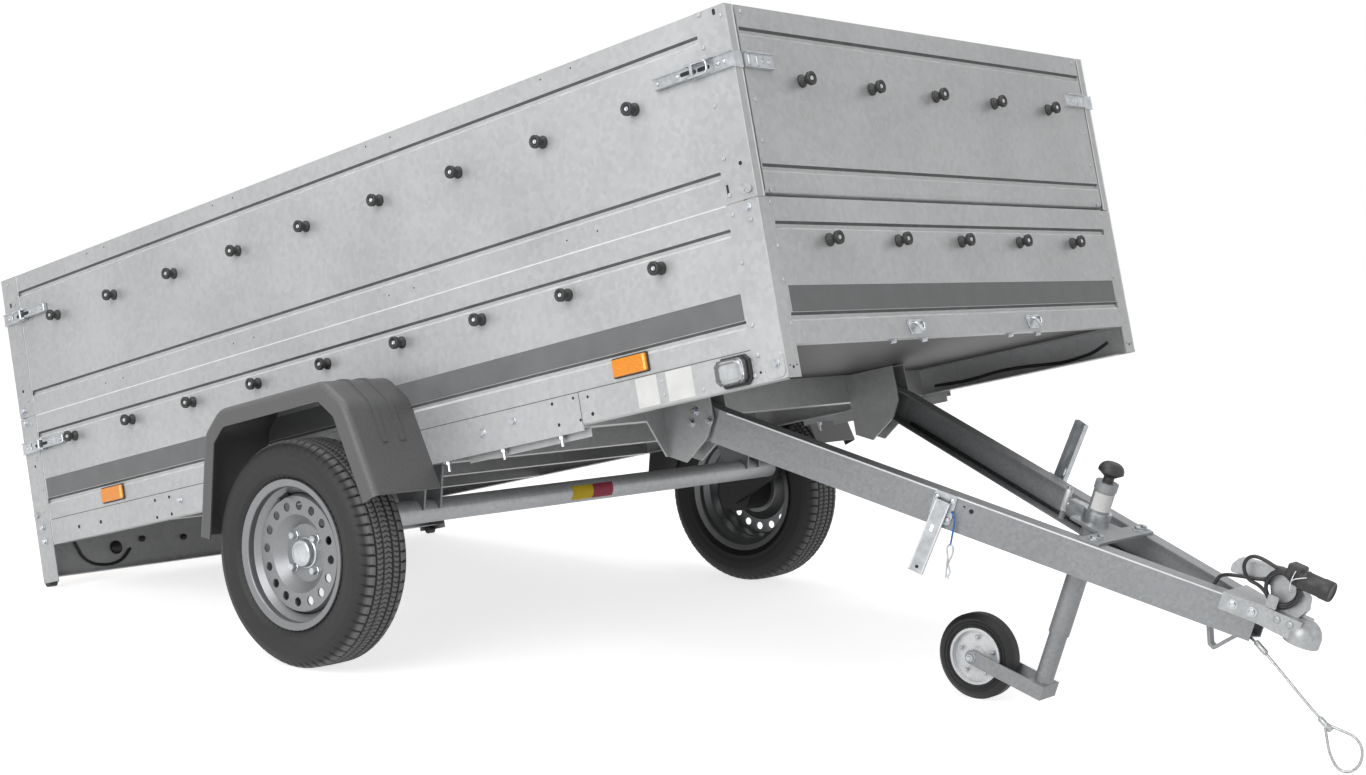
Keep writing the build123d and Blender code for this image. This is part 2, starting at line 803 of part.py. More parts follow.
with BuildPart() as rim:
    with BuildSketch(wheel_plane):
        with BuildLine():
            Polyline(
                (rim_radius, half_rim),
                (bead_radius, half_rim - rim_sheet),
                (bead_radius, half_rim - bead_seat),
                (well_radius, half_rim - bead_seat - rim_flange),
                (well_radius, -half_rim + bead_seat + rim_flange),
                (bead_radius, -half_rim + bead_seat),
                (bead_radius, -half_rim + rim_sheet),
                (rim_radius, -half_rim),
            )
            offset(amount=rim_sheet, side=Side.RIGHT)
        make_face()
    revolve(axis=wheel_axis)
    with BuildSketch(wheel_plane):
        with BuildLine():
            Polyline(
                (well_radius - rim_sheet / 2, disc_seat),
                (vent_ring + 2 * vent_radius, disc_seat + disc_crown),
                (vent_ring - 2 * vent_radius, disc_seat + disc_crown),
                (hub_radius + vent_radius, disc_seat + disc_dish),
                (hub_cap_radius, disc_seat + disc_dish),
            )
            offset(amount=rim_sheet, side=Side.LEFT)
        make_face()
    revolve(axis=wheel_axis)
    with BuildSketch(Plane(origin=wheel_plane.origin, x_dir=(1, 0, 0), z_dir=(0, -1, 0))):
        with PolarLocations(vent_ring, vent_count):
            Circle(vent_radius)
    extrude(amount=half_rim, mode=Mode.SUBTRACT)
keep_pair(rim.part, "rim")

hub_inner = -(wheel_centre_y - arm_outer - fit_gap)
with BuildPart() as hub:
    with BuildSketch(wheel_plane):
        with BuildLine():
            Polyline(
                (stub_radius + shaft_gap, hub_inner),
                (hub_radius, hub_inner),
                (hub_radius, disc_seat + disc_dish - rim_sheet - fit_gap),
                (hub_cap_radius - fit_gap, disc_seat + disc_dish - rim_sheet - fit_gap),
                (hub_cap_radius - fit_gap, disc_seat + hub_cap_rise),
                (0, disc_seat + hub_cap_rise + rim_sheet),
                (0, stub_end - wheel_centre_y + fit_gap),
                (stub_radius + shaft_gap, stub_end - wheel_centre_y + fit_gap),
                close=True,
            )
        make_face()
    revolve(axis=wheel_axis)
keep_pair(hub.part, "hub")

# Hinge brackets: a plate each side of the beam's rear end, washers and the pivot pin
outer_plate_y = beam_rear_y + hinge_washer + fit_gap
inner_plate_y = beam_rear_y - beam_flange - moving_gap - bracket_plate
with BuildPart() as hinge_bracket:
    for plate_y in (outer_plate_y, inner_plate_y):
        with BuildSketch(bed_side.offset(plate_y)):
            with BuildLine():
                Polyline(*[(front_cross_x + x, z) for x, z in bracket_outline], close=True)
            make_face()
        extrude(amount=bracket_plate)
    with BuildSketch(bed_front.offset(front_cross_x)):
        with BuildLine():
            flange_y = -(outer_plate_y + bracket_plate)
            Polyline(
                (flange_y, bracket_head),
                (flange_y, bracket_heel),
                (flange_y - bracket_flange_foot, bracket_heel),
                (flange_y - bracket_flange, 0),
                (flange_y - bracket_flange, bracket_head),
                close=True,
            )
        make_face()
    extrude(amount=bracket_plate)
    with BuildSketch(bed_side.offset(inner_plate_y)):
        with Locations((hinge_x, hinge_z)):
            Circle(hinge_pin_radius)
    extrude(amount=outer_plate_y - inner_plate_y)
    with BuildSketch(bed_side.offset(outer_plate_y)):
        with Locations((hinge_x, hinge_z)):
            Circle(2 * hinge_pin_radius)
    extrude(amount=-hinge_washer)
keep_pair(hinge_bracket.part, "hinge_bracket")

# Drawbar beams: channels folded in plan, open to the middle, meeting at the coupling
beam_path = (
    (beam_start_x, -beam_rear_y),
    (beam_bend_x, -beam_rear_y),
    (beam_end_x, -beam_front_y),
)
half_beam = beam_height / 2
with BuildPart() as beam:
    with BuildSketch(bar.offset(-half_beam)):
        with BuildLine():
            Polyline(*beam_path)
            offset(amount=beam_sheet, side=Side.LEFT)
        make_face()
    extrude(amount=beam_height)
    with BuildSketch(bar.offset(-half_beam), bar.offset(half_beam - beam_sheet)):
        with BuildLine():
            Polyline(*beam_path)
            offset(amount=beam_flange, side=Side.LEFT)
        make_face()
    extrude(amount=beam_sheet)
    with BuildSketch(bar.offset(-half_beam)):
        with Locations((beam_end_x, beam_flange)):
            Rectangle(2 * beam_end_x, 2 * beam_flange + fit_gap)
    extrude(amount=beam_height, mode=Mode.SUBTRACT)
    with BuildSketch(bar_side.offset(beam_rear_y - 2 * beam_sheet)):
        Circle(hinge_pin_radius + fit_gap)
    extrude(amount=3 * beam_sheet, mode=Mode.SUBTRACT)
keep_pair(beam.part, "drawbar_beam")

# Bridge plate on the beams that carries the jockey wheel's tube
beam_slope = (beam_rear_y - beam_front_y) / (beam_end_x - beam_bend_x)


def beam_y(x):
    """Half the drawbar's width, outside its beams, at a place along it."""
    return beam_rear_y - beam_slope * (x - beam_bend_x)


with BuildPart() as bridge_plate:
    with BuildSketch(bar.offset(half_beam)):
        with BuildLine():
            half_outline = (
                (stem_x - tongue_reach, -tongue_half * cos(radians(45))),
                (stem_x, -tongue_half),
                (bridge_start_x, -tongue_half - bridge_edge),
                (bridge_start_x, -beam_y(bridge_start_x) + bridge_edge),
                (bridge_end_x, -beam_y(bridge_end_x) + bridge_edge),
            )
            Polyline(*half_outline, *[(x, -y) for x, y in reversed(half_outline)], close=True)
        make_face()
        with Locations((stem_x, 0)):
            Circle(stem_radius + fit_gap, mode=Mode.SUBTRACT)
    extrude(amount=bridge_sheet)
keep(bridge_plate.part, "bridge_plate")

# Clamp collar on the bridge, with its screw and toggle
with BuildPart() as jockey_clamp:
    with BuildSketch(bar.offset(half_beam + bridge_sheet)):
        with Locations((stem_x, 0)):
            Circle(stem_radius + fit_gap + clamp_wall)
        with Locations((stem_x - stem_radius - clamp_ear / 2, 0)):
            Rectangle(clamp_ear, clamp_ear_width)
        with Locations((stem_x, 0)):
            Circle(stem_radius + fit_gap, mode=Mode.SUBTRACT)
    extrude(amount=clamp_height)
    clamp_level = half_beam + bridge_sheet + clamp_height / 2
    with BuildSketch(bar_front.offset(stem_x - toggle_back)):
        with Locations((0, clamp_level)):
            Circle(clamp_screw_radius)
    extrude(amount=toggle_back - stem_radius - clamp_ear / 2)
    with BuildSketch(bar.offset(clamp_level - toggle_length / 2)):
        with Locations((stem_x - toggle_back, 0)):
            Circle(toggle_radius)
    extrude(amount=toggle_length)
keep(jockey_clamp.part, "jockey_clamp")

# Jockey stem: outer tube with a collar at its head, and the crank's dome on top
with BuildPart() as jockey_tube:
    with BuildSketch(bar.offset(stem_foot)):
        with Locations((stem_x, 0)):
            Circle(stem_radius)
            Circle(slider_radius + fit_gap, mode=Mode.SUBTRACT)
    extrude(amount=stem_top - stem_foot)
    with BuildSketch(bar.offset(stem_top)):
        with Locations((stem_x, 0)):
            Circle(stem_radius)
    extrude(amount=stem_cap)
    with BuildSketch(bar.offset(stem_top + stem_cap)):
        with Locations((stem_x, 0)):
            Circle(stem_radius + stem_collar_wall)
            Circle(stem_radius - stem_collar_wall, mode=Mode.SUBTRACT)
    extrude(amount=-stem_collar)
keep(jockey_tube.part, "jockey_tube")

with BuildPart() as crank_dome:
    dome_foot = stem_top + stem_cap
    for level, radius, amount, taper in (
        (dome_foot, dome_neck_radius, dome_rim_rise, 0),
        (dome_foot + dome_rim_rise, dome_radius, dome_neck_height - dome_rim_rise, dome_taper),
        (dome_foot + dome_rim_rise, dome_radius, dome_rise - dome_rim_rise, 0),
    ):
        with BuildSketch(bar.offset(level)):
            with Locations((stem_x, 0)):
                Circle(radius)
        extrude(amount=amount, taper=taper)
    fillet(edges().group_by(Axis(hinge_point, bar_up))[-1], dome_round)
keep(crank_dome.part, "crank_dome")

# The jockey wheel stands on the floor, which sets how far its slider is out
jockey_hub_x = stem_x - fork_trail
jockey_hub_z = (
    jockey_radius - hinge_point.Z + jockey_hub_x * sin(radians(bar_pitch))
) / cos(radians(bar_pitch))
fork_top = jockey_hub_z + fork_height / 2
slider_top = stem_foot + slider_overlap

with BuildPart() as jockey_slider:
    with BuildSketch(bar.offset(fork_top + fit_gap)):
        with Locations((stem_x, 0)):
            Circle(slider_radius)
            Circle(slider_bore + fit_gap, mode=Mode.SUBTRACT)
    extrude(amount=slider_top - fork_top - fit_gap)
keep(jockey_slider.part, "jockey_slider")

# Fork: two flat arms on a block that swivels in the slider
fork_inner = jockey_width / 2 + fork_gap
with BuildPart() as jockey_fork:
    for plate_y in (fork_inner, -fork_inner - fork_plate):
        with BuildSketch(bar_side.offset(plate_y)):
            with Locations((stem_x - fork_trail / 2, jockey_hub_z)):
                SlotCenterToCenter(fork_trail, fork_height)
        extrude(amount=fork_plate)
    with BuildSketch(bar.offset(jockey_hub_z - fork_height / 2)):
        with Locations((stem_x, 0)):
            Rectangle(2 * slider_radius, 2 * fork_inner + 2 * fork_plate)
    extrude(amount=fork_height)
    with BuildSketch(bar.offset(fork_top)):
        with Locations((stem_x, 0)):
            Circle(slider_bore)
    extrude(amount=swivel_length)
    with BuildSketch(bar_side.offset(-fork_inner)):
        with Locations((jockey_hub_x, jockey_hub_z)):
            Circle(jockey_pin_radius)
    extrude(amount=2 * fork_inner)
keep(jockey_fork.part, "jockey_fork")

# Jockey wheel: solid tyre on a pressed rim
jockey_centre = hinge_point + bar_dir * jockey_hub_x + bar_up * jockey_hub_z
jockey_plane = Plane(origin=jockey_centre, x_dir=(0, 0, 1), z_dir=(1, 0, 0))
jockey_axis = Axis(jockey_centre, (0, -1, 0))
half_jockey = jockey_width / 2
jockey_half_section = (
    (jockey_rim_radius + fit_gap, half_jockey - jockey_lip),
    (jockey_radius - 3 * jockey_lip, half_jockey),
    (jockey_radius, half_jockey / 2),
)
keep(revolved(both_halves(jockey_half_section), jockey_plane, jockey_axis), "jockey_tyre")
jockey_well = jockey_rim_radius - jockey_web
rim_half_section = (
    (jockey_pin_radius + shaft_gap, half_jockey),
    (jockey_hub_radius, half_jockey),
    (jockey_hub_radius, jockey_web),
    (jockey_well, jockey_web),
    (jockey_well, half_jockey - jockey_lip),
    (jockey_rim_radius, half_jockey - jockey_lip),
)
keep(revolved(both_halves(rim_half_section), jockey_plane, jockey_axis), "jockey_rim")

# Coupling: a pressed cover over the beams' front ends that runs out to the ball socket
cover_half = beam_y(coupling_start_x) + coupling_sheet + fit_gap
cover_top = half_beam + fit_gap + coupling_sheet
cover_start = coupling_start_x - cover_lap
cover_end = ball_x + cover_lap
cover_nose = ball_z + nose_radius - coupling_sheet
ball_bore = ball_radius + ball_gap
ball_axis = Axis(bar.from_local_coords(Vector(ball_x, 0, ball_z)), bar_up)
with BuildPart() as coupling:
    with BuildSketch(bar.offset(-half_beam)):
        with BuildLine():
            Polyline(
                (coupling_start_x, -cover_half),
                (beam_end_x + cover_lap, -neck_half),
                (ball_x, -neck_half),
                (ball_x, neck_half),
                (beam_end_x + cover_lap, neck_half),
                (coupling_start_x, cover_half),
                close=True,
            )
        make_face()
    extrude(amount=half_beam + max(cover_top, cover_nose))
    with BuildSketch(bar_side.offset(-cover_half - cover_lap)):
        with BuildLine():
            Polyline(
                (cover_start, cover_top),
                (cover_end, cover_nose),
                (cover_end, 2 * beam_height),
                (cover_start, 2 * beam_height),
                close=True,
            )
        make_face()
        with BuildLine():
            Polyline(
                (cover_start, cover_hem),
                (beam_end_x, ball_z - socket_skirt + cover_lap),
                (cover_end, ball_z - socket_skirt + coupling_sheet),
                (cover_end, -beam_height),
                (cover_start, -beam_height),
                close=True,
            )
        make_face()
    extrude(amount=2 * (cover_half + cover_lap), mode=Mode.SUBTRACT)
    with BuildSketch(Plane(origin=ball_axis.position, x_dir=bar_dir, z_dir=(0, -1, 0))):
        with BuildLine():
            Polyline((0, nose_radius), (0, -socket_skirt), (nose_radius, -socket_skirt), (nose_radius, 0))
            CenterArc((0, 0), nose_radius, 0, 90)
        make_face()
    revolve(axis=ball_axis)
    with BuildSketch(bar.offset(-half_beam - fit_gap)):
        with BuildLine():
            Polyline(
                (cover_start, -beam_y(cover_start) - fit_gap),
                (beam_end_x + fit_gap, -beam_front_y - fit_gap),
                (beam_end_x + fit_gap, beam_front_y + fit_gap),
                (cover_start, beam_y(cover_start) + fit_gap),
                close=True,
            )
        make_face()
    extrude(amount=beam_height + 2 * fit_gap, mode=Mode.SUBTRACT)
    with BuildSketch(Plane(origin=ball_axis.position, x_dir=bar_dir, z_dir=(0, -1, 0))):
        with BuildLine():
            Polyline((0, ball_bore), (0, -half_beam), (ball_bore, -half_beam), (ball_bore, 0))
            CenterArc((0, 0), ball_bore, 0, 90)
        make_face()
    revolve(axis=ball_axis, mode=Mode.SUBTRACT)
keep(coupling.part, "coupling")


def cover_line(x):
    """Height of the coupling's sloping top at a place along the drawbar."""
    return cover_top + (cover_nose - cover_top) * (x - cover_start) / (cover_end - cover_start)


# Its lever: a pressed handle that lies back over the cover, pivoted behind the ball
with BuildPart() as coupling_lever:
    with BuildSketch(bar_side.offset(-lever_width / 2)):
        with BuildLine():
            Polyline(
                *lever_profile,
                (lever_toe_x, cover_line(lever_toe_x)),
                (lever_heel_x, cover_line(lever_heel_x)),
                *lever_belly,
                close=True,
            )
        make_face()
        fillet(vertices().sort_by(Axis.X)[:2], lever_bend)
    extrude(amount=lever_width)
keep(coupling_lever.part, "coupling_lever")

# Over-centre latches on the beams: the right one hangs open, the left one stands up
latch_half = beam_y(latch_x)
beam_lean = atan2(beam_slope, 1)
beam_dir = (bar_dir * cos(beam_lean) + Vector(0, 1, 0) * sin(beam_lean)).normalized()
latch_point = bar.from_local_coords(Vector(latch_x, -latch_half, 0))
latch_face = Plane(origin=latch_point, x_dir=beam_dir, z_dir=beam_dir.cross(bar_up))
left_face = Plane(
    origin=Vector(latch_point.X, -latch_point.Y, latch_point.Z),
    x_dir=Vector(beam_dir.X, -beam_dir.Y, beam_dir.Z),
    z_dir=Vector(-latch_face.z_dir.X, latch_face.z_dir.Y, -latch_face.z_dir.Z),
)
with BuildPart() as drawbar_latches:
    for face, out, (middle, foot, head) in ((latch_face, 1, right_handle), (left_face, -1, left_handle)):
        handle_face = face.offset(out * (fit_gap + latch_sheet))
        handle_middle = (middle, (foot + head) / 2)
        slot_z = foot + handle_slot_inset if foot > 0 else head - 2 * handle_slot_inset
        with BuildSketch(face.offset(out * fit_gap)):
            with Locations((0, latch_rise)):
                RectangleRounded(latch_width, latch_height, latch_corner)
        extrude(amount=out * latch_sheet)
        with BuildSketch(handle_face):
            with Locations(handle_middle):
                Rectangle(handle_width, head - foot, rotation=handle_lean)
        extrude(amount=out * handle_depth)
        with BuildSketch(handle_face):
            with Locations(handle_middle):
                Rectangle(handle_width - 2 * handle_sheet, head - foot, rotation=handle_lean)
        extrude(amount=out * (handle_depth - handle_sheet), mode=Mode.SUBTRACT)
        with BuildSketch(handle_face):
            with Locations((middle, slot_z)):
                SlotOverall(handle_slot, handle_slot_width, rotation=90 + handle_lean)
        extrude(amount=out * handle_depth, mode=Mode.SUBTRACT)
keep(drawbar_latches.part, "drawbar_latches")

# Catches for those latches on the lower front board
catch_places = ((-catch_y, rail_height + catch_rise), (catch_y, rail_height + catch_rise))
with BuildPart() as latch_catches:
    with BuildSketch(front_face):
        with Locations(*catch_places):
            Rectangle(catch_width, catch_height)
    extrude(amount=catch_sheet)
    with BuildSketch(front_face.offset(catch_sheet)):
        with Locations(*catch_places):
            Rectangle(catch_width / 2, catch_height / 3)
    extrude(amount=catch_depth)
keep(latch_catches.part, "latch_catches")

# Cable rest bent under the beams' front ends
with BuildPart() as cable_rest:
    with BuildSketch(bar_side.offset(-rest_width / 2)):
        with BuildLine():
            Polyline(*[(rest_x + x, -half_beam - drop) for x, drop in rest_bend])
            offset(amount=rest_bar, side=Side.LEFT)
        make_face()
    extrude(amount=rest_width)
    with BuildSketch(bar_side.offset(-rest_width)):
        with Locations((rest_x, -half_beam - fit_gap + beam_height / 2)):
            Rectangle(2 * beam_height, beam_height)
    extrude(amount=2 * rest_width, mode=Mode.SUBTRACT)
keep(cable_rest.part, "cable_rest")

# Corner latches: levers on the side boards, with straps that turn round the posts
strap_run = corner_latch_length + corner_latch_sheet
with BuildPart() as corner_latches:
    for corner_x, forward, level, flange in latch_corners:
        strap_x = corner_x + forward * (corner_latch_sheet - corner_latch_length) / 2
        with BuildSketch(bed_side.offset(half_width)):
            with Locations((strap_x, level)):
                Rectangle(strap_run, corner_latch_height)
        extrude(amount=corner_latch_sheet)
        with BuildSketch(bed_front.offset(corner_x)):
            with Locations((-half_width + flange / 2, level)):
                Rectangle(flange, corner_latch_height)
        extrude(amount=forward * corner_latch_sheet)
        with BuildSketch(bed_side.offset(half_width + corner_latch_sheet)):
            with Locations((strap_x - forward * corner_latch_height / 2, level)):
                SlotOverall(strap_run / 2, corner_latch_height / 2)
        extrude(amount=corner_latch_depth - corner_latch_sheet)
    mirror(about=Plane.XZ)
keep(corner_latches.part, "corner_latches")


def cord_radii(points):
    """Bend radii along a cord: a share of the shorter run at each corner, over the half turn's tangent."""
    runs = [b - a for a, b in zip(points, points[1:])]
    radii = []
    for before, after in zip(runs, runs[1:]):
        half_turn = radians(before.get_angle(after)) / 2
        radii.append(bend_share * min(before.length, after.length) / tan(half_turn))
    return radii


def cord_tube(name, points, radius):
    """A cord's tube through its route: straight runs joined by tangent arcs."""
    radii = cord_radii(points)
    print(name, "bend radii", [round(bend, 1) for bend in radii])
    with BuildPart() as tube:
        with BuildLine() as route:
            FilletPolyline(*points, radius=radii)
        start = route.line
        with BuildSketch(Plane(origin=start @ 0, z_dir=start % 0)):
            Circle(radius)
        sweep(path=route.line)
    return tube.part


# Safety cable: hangs from the beams' front end, and its loop stands on the floor
cable_start = bar.from_local_coords(Vector(cable_x, cable_y, cable_z))
safety_run = [cable_start + Vector(x, y, z) for x, y, z in safety_places]
loop_drop = safety_run[-1].Z - safety_radius - fit_gap
safety_loop = [safety_run[-1] + Vector(x, y, -loop_drop * drop) for x, y, drop in loop_places]
with BuildPart() as safety_cable:
    add(cord_tube("safety cable", safety_run, safety_radius))
    add(cord_tube("safety loop", safety_loop, safety_radius))
    with BuildSketch(Plane(origin=safety_run[-1], z_dir=safety_run[-1] - safety_run[-2])):
        RectangleRounded(ferrule_width, ferrule_depth, ferrule_corner)
    extrude(amount=ferrule_length / 2, both=True)
keep(safety_cable.part, "safety_cable")

# Lighting cable: along the left beam's lower flange to the coil, which stands on the coupling by the lever
beam_pocket = beam_sheet + fit_gap + lead_radius
flange_z = -half_beam + beam_pocket
lead_ends = [(x, beam_y(x) - beam_pocket / cos(beam_lean), flange_z) for x in (lead_rear_x, lead_front_x)]
with BuildPart() as drawbar_wiring:
    rear_end, front_end = [bar.from_local_coords(Vector(*end)) for end in lead_ends]
    with BuildSketch(Plane(origin=rear_end, z_dir=front_end - rear_end)):
        Circle(lead_radius)
    extrude(amount=(front_end - rear_end).length)
keep(drawbar_wiring.part, "drawbar_wiring")

coil_y = -(lever_width / 2 + fit_gap + coil_tube)
coil_z = cover_line(coil_x - coil_radius) + fit_gap + coil_tube + coil_radius
coil_point = bar.from_local_coords(Vector(coil_x, coil_y, coil_z))
with BuildPart() as plug_coil:
    with BuildSketch(Plane(origin=coil_point, x_dir=bar_up, z_dir=bar_dir)):
        with Locations((coil_radius, 0)):
            RegularPolygon(coil_tube, coil_sides)
    revolve(axis=Axis(coil_point, (0, 1, 0)))
keep(plug_coil.part, "plug_coil")

plug_z = coil_z + plug_rise
ring_z = sqrt(coil_radius**2 - (plug_x - coil_x) ** 2)
plug_y = coil_y - sqrt((coil_tube + plug_radius + fit_gap) ** 2 - (plug_rise - ring_z) ** 2)
with BuildPart() as plug:
    with BuildSketch(bar_front.offset(plug_x)):
        with Locations((plug_y, plug_z)):
            Circle(plug_radius)
    extrude(amount=plug_length)
    with BuildSketch(bar_front.offset(plug_x)):
        with Locations((plug_y, plug_z)):
            Circle(plug_radius * boot_share)
    extrude(amount=-boot_length, taper=boot_taper)
keep(plug.part, "plug")

# Its two free stretches, from the beam to the coil and from the coil to the plug, as places from the coil
coil_reach = coil_radius + coil_tube + fit_gap
lead_x, lead_y, lead_z = lead_ends[1]
lead_starts = [
    (lead_x + run * cos(beam_lean) - coil_x, lead_y - run * sin(beam_lean) - coil_y, lead_z - coil_z)
    for run in (fit_gap, lead_straight)
]
plug_reach = coil_reach + lead_gap
lead_route = (*lead_starts, *lead_places, (-coil_reach, 0, 0))
plug_route = (
    (-plug_reach * cos(radians(plug_start)), 0, -plug_reach * sin(radians(plug_start))),
    *plug_places,
    (plug_x - boot_length - fit_gap - coil_x, plug_y - coil_y, plug_rise),
)
with BuildPart() as plug_cable:
    for name, route in (("lead", lead_route), ("plug lead", plug_route)):
        places = [bar.from_local_coords(Vector(coil_x + x, coil_y + y, coil_z + z)) for x, y, z in route]
        add(cord_tube(name, places, lead_radius))
keep(plug_cable.part, "plug_cable")

# Short cord that hangs from the right latch's plate and holds its pin
latch_cord_points = [latch_face.from_local_coords(Vector(*place)) for place in latch_cord_places]
keep(cord_tube("latch cord", latch_cord_points, latch_cord_radius), "latch_cord")

# Wiring held in the left rail, and its loop on the front of the lamp bar
wiring_y = half_width - post_sheet - rail_sheet - fit_gap - lead_radius
wiring_x = post_sheet + rail_sheet + fit_gap + lead_radius
rail_wiring = [(bed_length - back, wiring_y, z) for back, z in rail_wiring_places]
lamp_wiring = [(wiring_x, inset - half_width, z) for inset, z in lamp_wiring_places]
with BuildPart() as bed_wiring:
    for name, route in (("rail wiring", rail_wiring), ("lamp wiring", lamp_wiring)):
        places = [bed.from_local_coords(Vector(*place)) for place in route]
        add(cord_tube(name, places, lead_radius))
keep(bed_wiring.part, "bed_wiring")
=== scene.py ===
import json
import bpy
import numpy as np
from mathutils import Matrix


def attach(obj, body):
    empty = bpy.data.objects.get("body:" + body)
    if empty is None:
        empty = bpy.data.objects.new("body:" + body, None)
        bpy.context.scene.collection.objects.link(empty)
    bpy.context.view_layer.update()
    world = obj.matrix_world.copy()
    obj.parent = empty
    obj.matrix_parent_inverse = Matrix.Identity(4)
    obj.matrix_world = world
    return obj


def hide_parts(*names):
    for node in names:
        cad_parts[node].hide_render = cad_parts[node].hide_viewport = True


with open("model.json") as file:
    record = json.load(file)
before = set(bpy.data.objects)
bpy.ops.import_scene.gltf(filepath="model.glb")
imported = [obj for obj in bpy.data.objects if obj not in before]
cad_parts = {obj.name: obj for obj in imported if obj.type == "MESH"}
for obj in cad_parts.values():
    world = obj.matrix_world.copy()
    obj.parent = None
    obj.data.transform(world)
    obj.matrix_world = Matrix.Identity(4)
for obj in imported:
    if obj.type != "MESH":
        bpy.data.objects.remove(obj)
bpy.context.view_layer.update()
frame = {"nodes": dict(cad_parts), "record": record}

# Camera
# It stands low, ahead of the trailer's right front corner, and sees it at the photograph's angle.
# Its place is taken from the drawbar's hinge; its lens and place fit an image 1366 by 775.
hinge = np.array([joint["pos_m"] for joint in frame["record"]["behaviour"]["joints"] if joint["name"] == "tip"][0])


def shown(name, data):
    """A new object with its data, linked into the scene."""
    made = bpy.data.objects.new(name, data)
    bpy.context.scene.collection.objects.link(made)
    return made


camera_data = bpy.data.cameras.new("camera")
camera_data.lens = 53.38
camera_data.sensor_width = 36.0
camera = shown("camera", camera_data)
camera.matrix_world = Matrix((
    (0.77213, -0.07144, 0.63144, hinge[0] + 2.92728),
    (0.63498, 0.04762, -0.77106, hinge[1] - 4.02997),
    (0.02502, 0.99631, 0.08213, hinge[2] + 0.45083),
    (0.0, 0.0, 0.0, 1.0),
))
bpy.context.scene.camera = camera
bpy.context.scene.view_settings.view_transform = "Standard"

# Safety cable
# Stranded steel wire rope 6 mm thick that holds the drawbar if the ball lets go.
# It is fixed under the beams' front end; pressed ferrules close both its ends, and its loop stands on the floor.
bar_lean = np.radians(16.53650)
bar_axes = np.array([
    [np.cos(bar_lean), 0.0, -np.sin(bar_lean)], [0.0, 1.0, 0.0], [np.sin(bar_lean), 0.0, np.cos(bar_lean)],
])


def on_bar(places):
    """Places on the drawbar in mm (forward of its hinge, left, up) as metres: the hinge plus the drawbar's axes."""
    return hinge + np.asarray(places, float) / 1000.0 @ bar_axes


def tone(code):
    """An sRGB hex colour as linear red, green, blue and 1: each channel through the sRGB curve."""
    channels = np.array([int(code[i:i + 2], 16) for i in (1, 3, 5)]) / 255.0
    linear = np.where(channels <= 0.04045, channels / 12.92, ((channels + 0.055) / 1.055) ** 2.4)
    return (*linear, 1.0)


def node(tree, kind, settings, links):
    """Adds one node: lower-case settings are its properties, others its sockets; links name their sources."""
    made = tree.nodes.new(kind)
    for key, value in settings.items():
        if isinstance(key, str) and key[0].islower():
            setattr(made, key, value)
        else:
            made.inputs[key].default_value = value
    for key, (source, output) in links.items():
        tree.links.new(source.outputs[output], made.inputs[key])
    return made


def finish(name, dark, light, rough, metal, low, drift):
    """A material with its tree, shader, coordinates and the two sockets that its pattern, from 0 to 1, drives.

    Colour goes from dark to light between low and 1 - low, and roughness from rough - drift to rough + drift.
    """
    made = bpy.data.materials.new(name)
    made.use_nodes = True
    tree = made.node_tree
    shader = tree.nodes["Principled BSDF"]
    shader.inputs["Metallic"].default_value = metal
    coords = node(tree, "ShaderNodeTexCoord", {}, {})
    shade = node(tree, "ShaderNodeValToRGB", {}, {})
    for element, place, code in zip(shade.color_ramp.elements, (low, 1.0 - low), (dark, light)):
        element.position = place
        element.color = tone(code)
    dull = node(tree, "ShaderNodeMapRange", {"To Min": rough - drift, "To Max": rough + drift}, {})
    tree.links.new(shade.outputs["Color"], shader.inputs["Base Color"])
    tree.links.new(dull.outputs["Result"], shader.inputs["Roughness"])
    return made, tree, shader, coords, (shade.inputs["Fac"], dull.inputs["Value"])


def grained(name, grain, dark, light, rough, metal=0.0, relief=0.0):
    """A finish whose colour and dullness drift with noise of one grain size in mm; relief in mm is its bump."""
    made, tree, shader, coords, driven = finish(name, dark, light, rough, metal, 0.32, 0.06)
    noise = node(tree, "ShaderNodeTexNoise", {"Scale": 1000.0 / grain, "Detail": 4.0}, {"Vector": (coords, "Object")})
    for socket in driven:
        tree.links.new(noise.outputs["Fac"], socket)
    if relief:
        bump = node(tree, "ShaderNodeBump", {"Strength": 0.6, "Distance": relief / 1000.0}, {"Height": (noise, "Fac")})
        tree.links.new(bump.outputs["Normal"], shader.inputs["Normal"])
    return made


def cord_line(name, points, thick):
    """A cord as one open NURBS spline of order 3 with the route's points as its control points."""
    data = bpy.data.curves.new(name, "CURVE")
    data.dimensions = "3D"
    data.bevel_depth = thick / 2
    data.bevel_resolution = 4
    data.resolution_u = 12
    data.use_fill_caps = True
    spline = data.splines.new("NURBS")
    spline.points.add(len(points) - 1)
    places = np.concatenate([points, np.ones((len(points), 1))], axis=1)
    spline.points.foreach_set("co", places.astype(np.float32).ravel())
    spline.use_endpoint_u = True
    spline.order_u = 3
    return shown(name, data)


def line_length(cord):
    """Length of a cord along its own spline: the steps between points read from a copy of it with no bevel."""
    bare = shown("bare_cord", cord.data.copy())
    bare.data.bevel_depth = 0.0
    bpy.context.view_layer.update()
    mesh = bpy.data.meshes.new_from_object(bare.evaluated_get(bpy.context.evaluated_depsgraph_get()))
    points = np.zeros(len(mesh.vertices) * 3, np.float32)
    mesh.vertices.foreach_get("co", points)
    bpy.data.objects.remove(bare)
    bpy.data.meshes.remove(mesh)
    return float(np.linalg.norm(np.diff(points.reshape(-1, 3), axis=0), axis=1).sum())


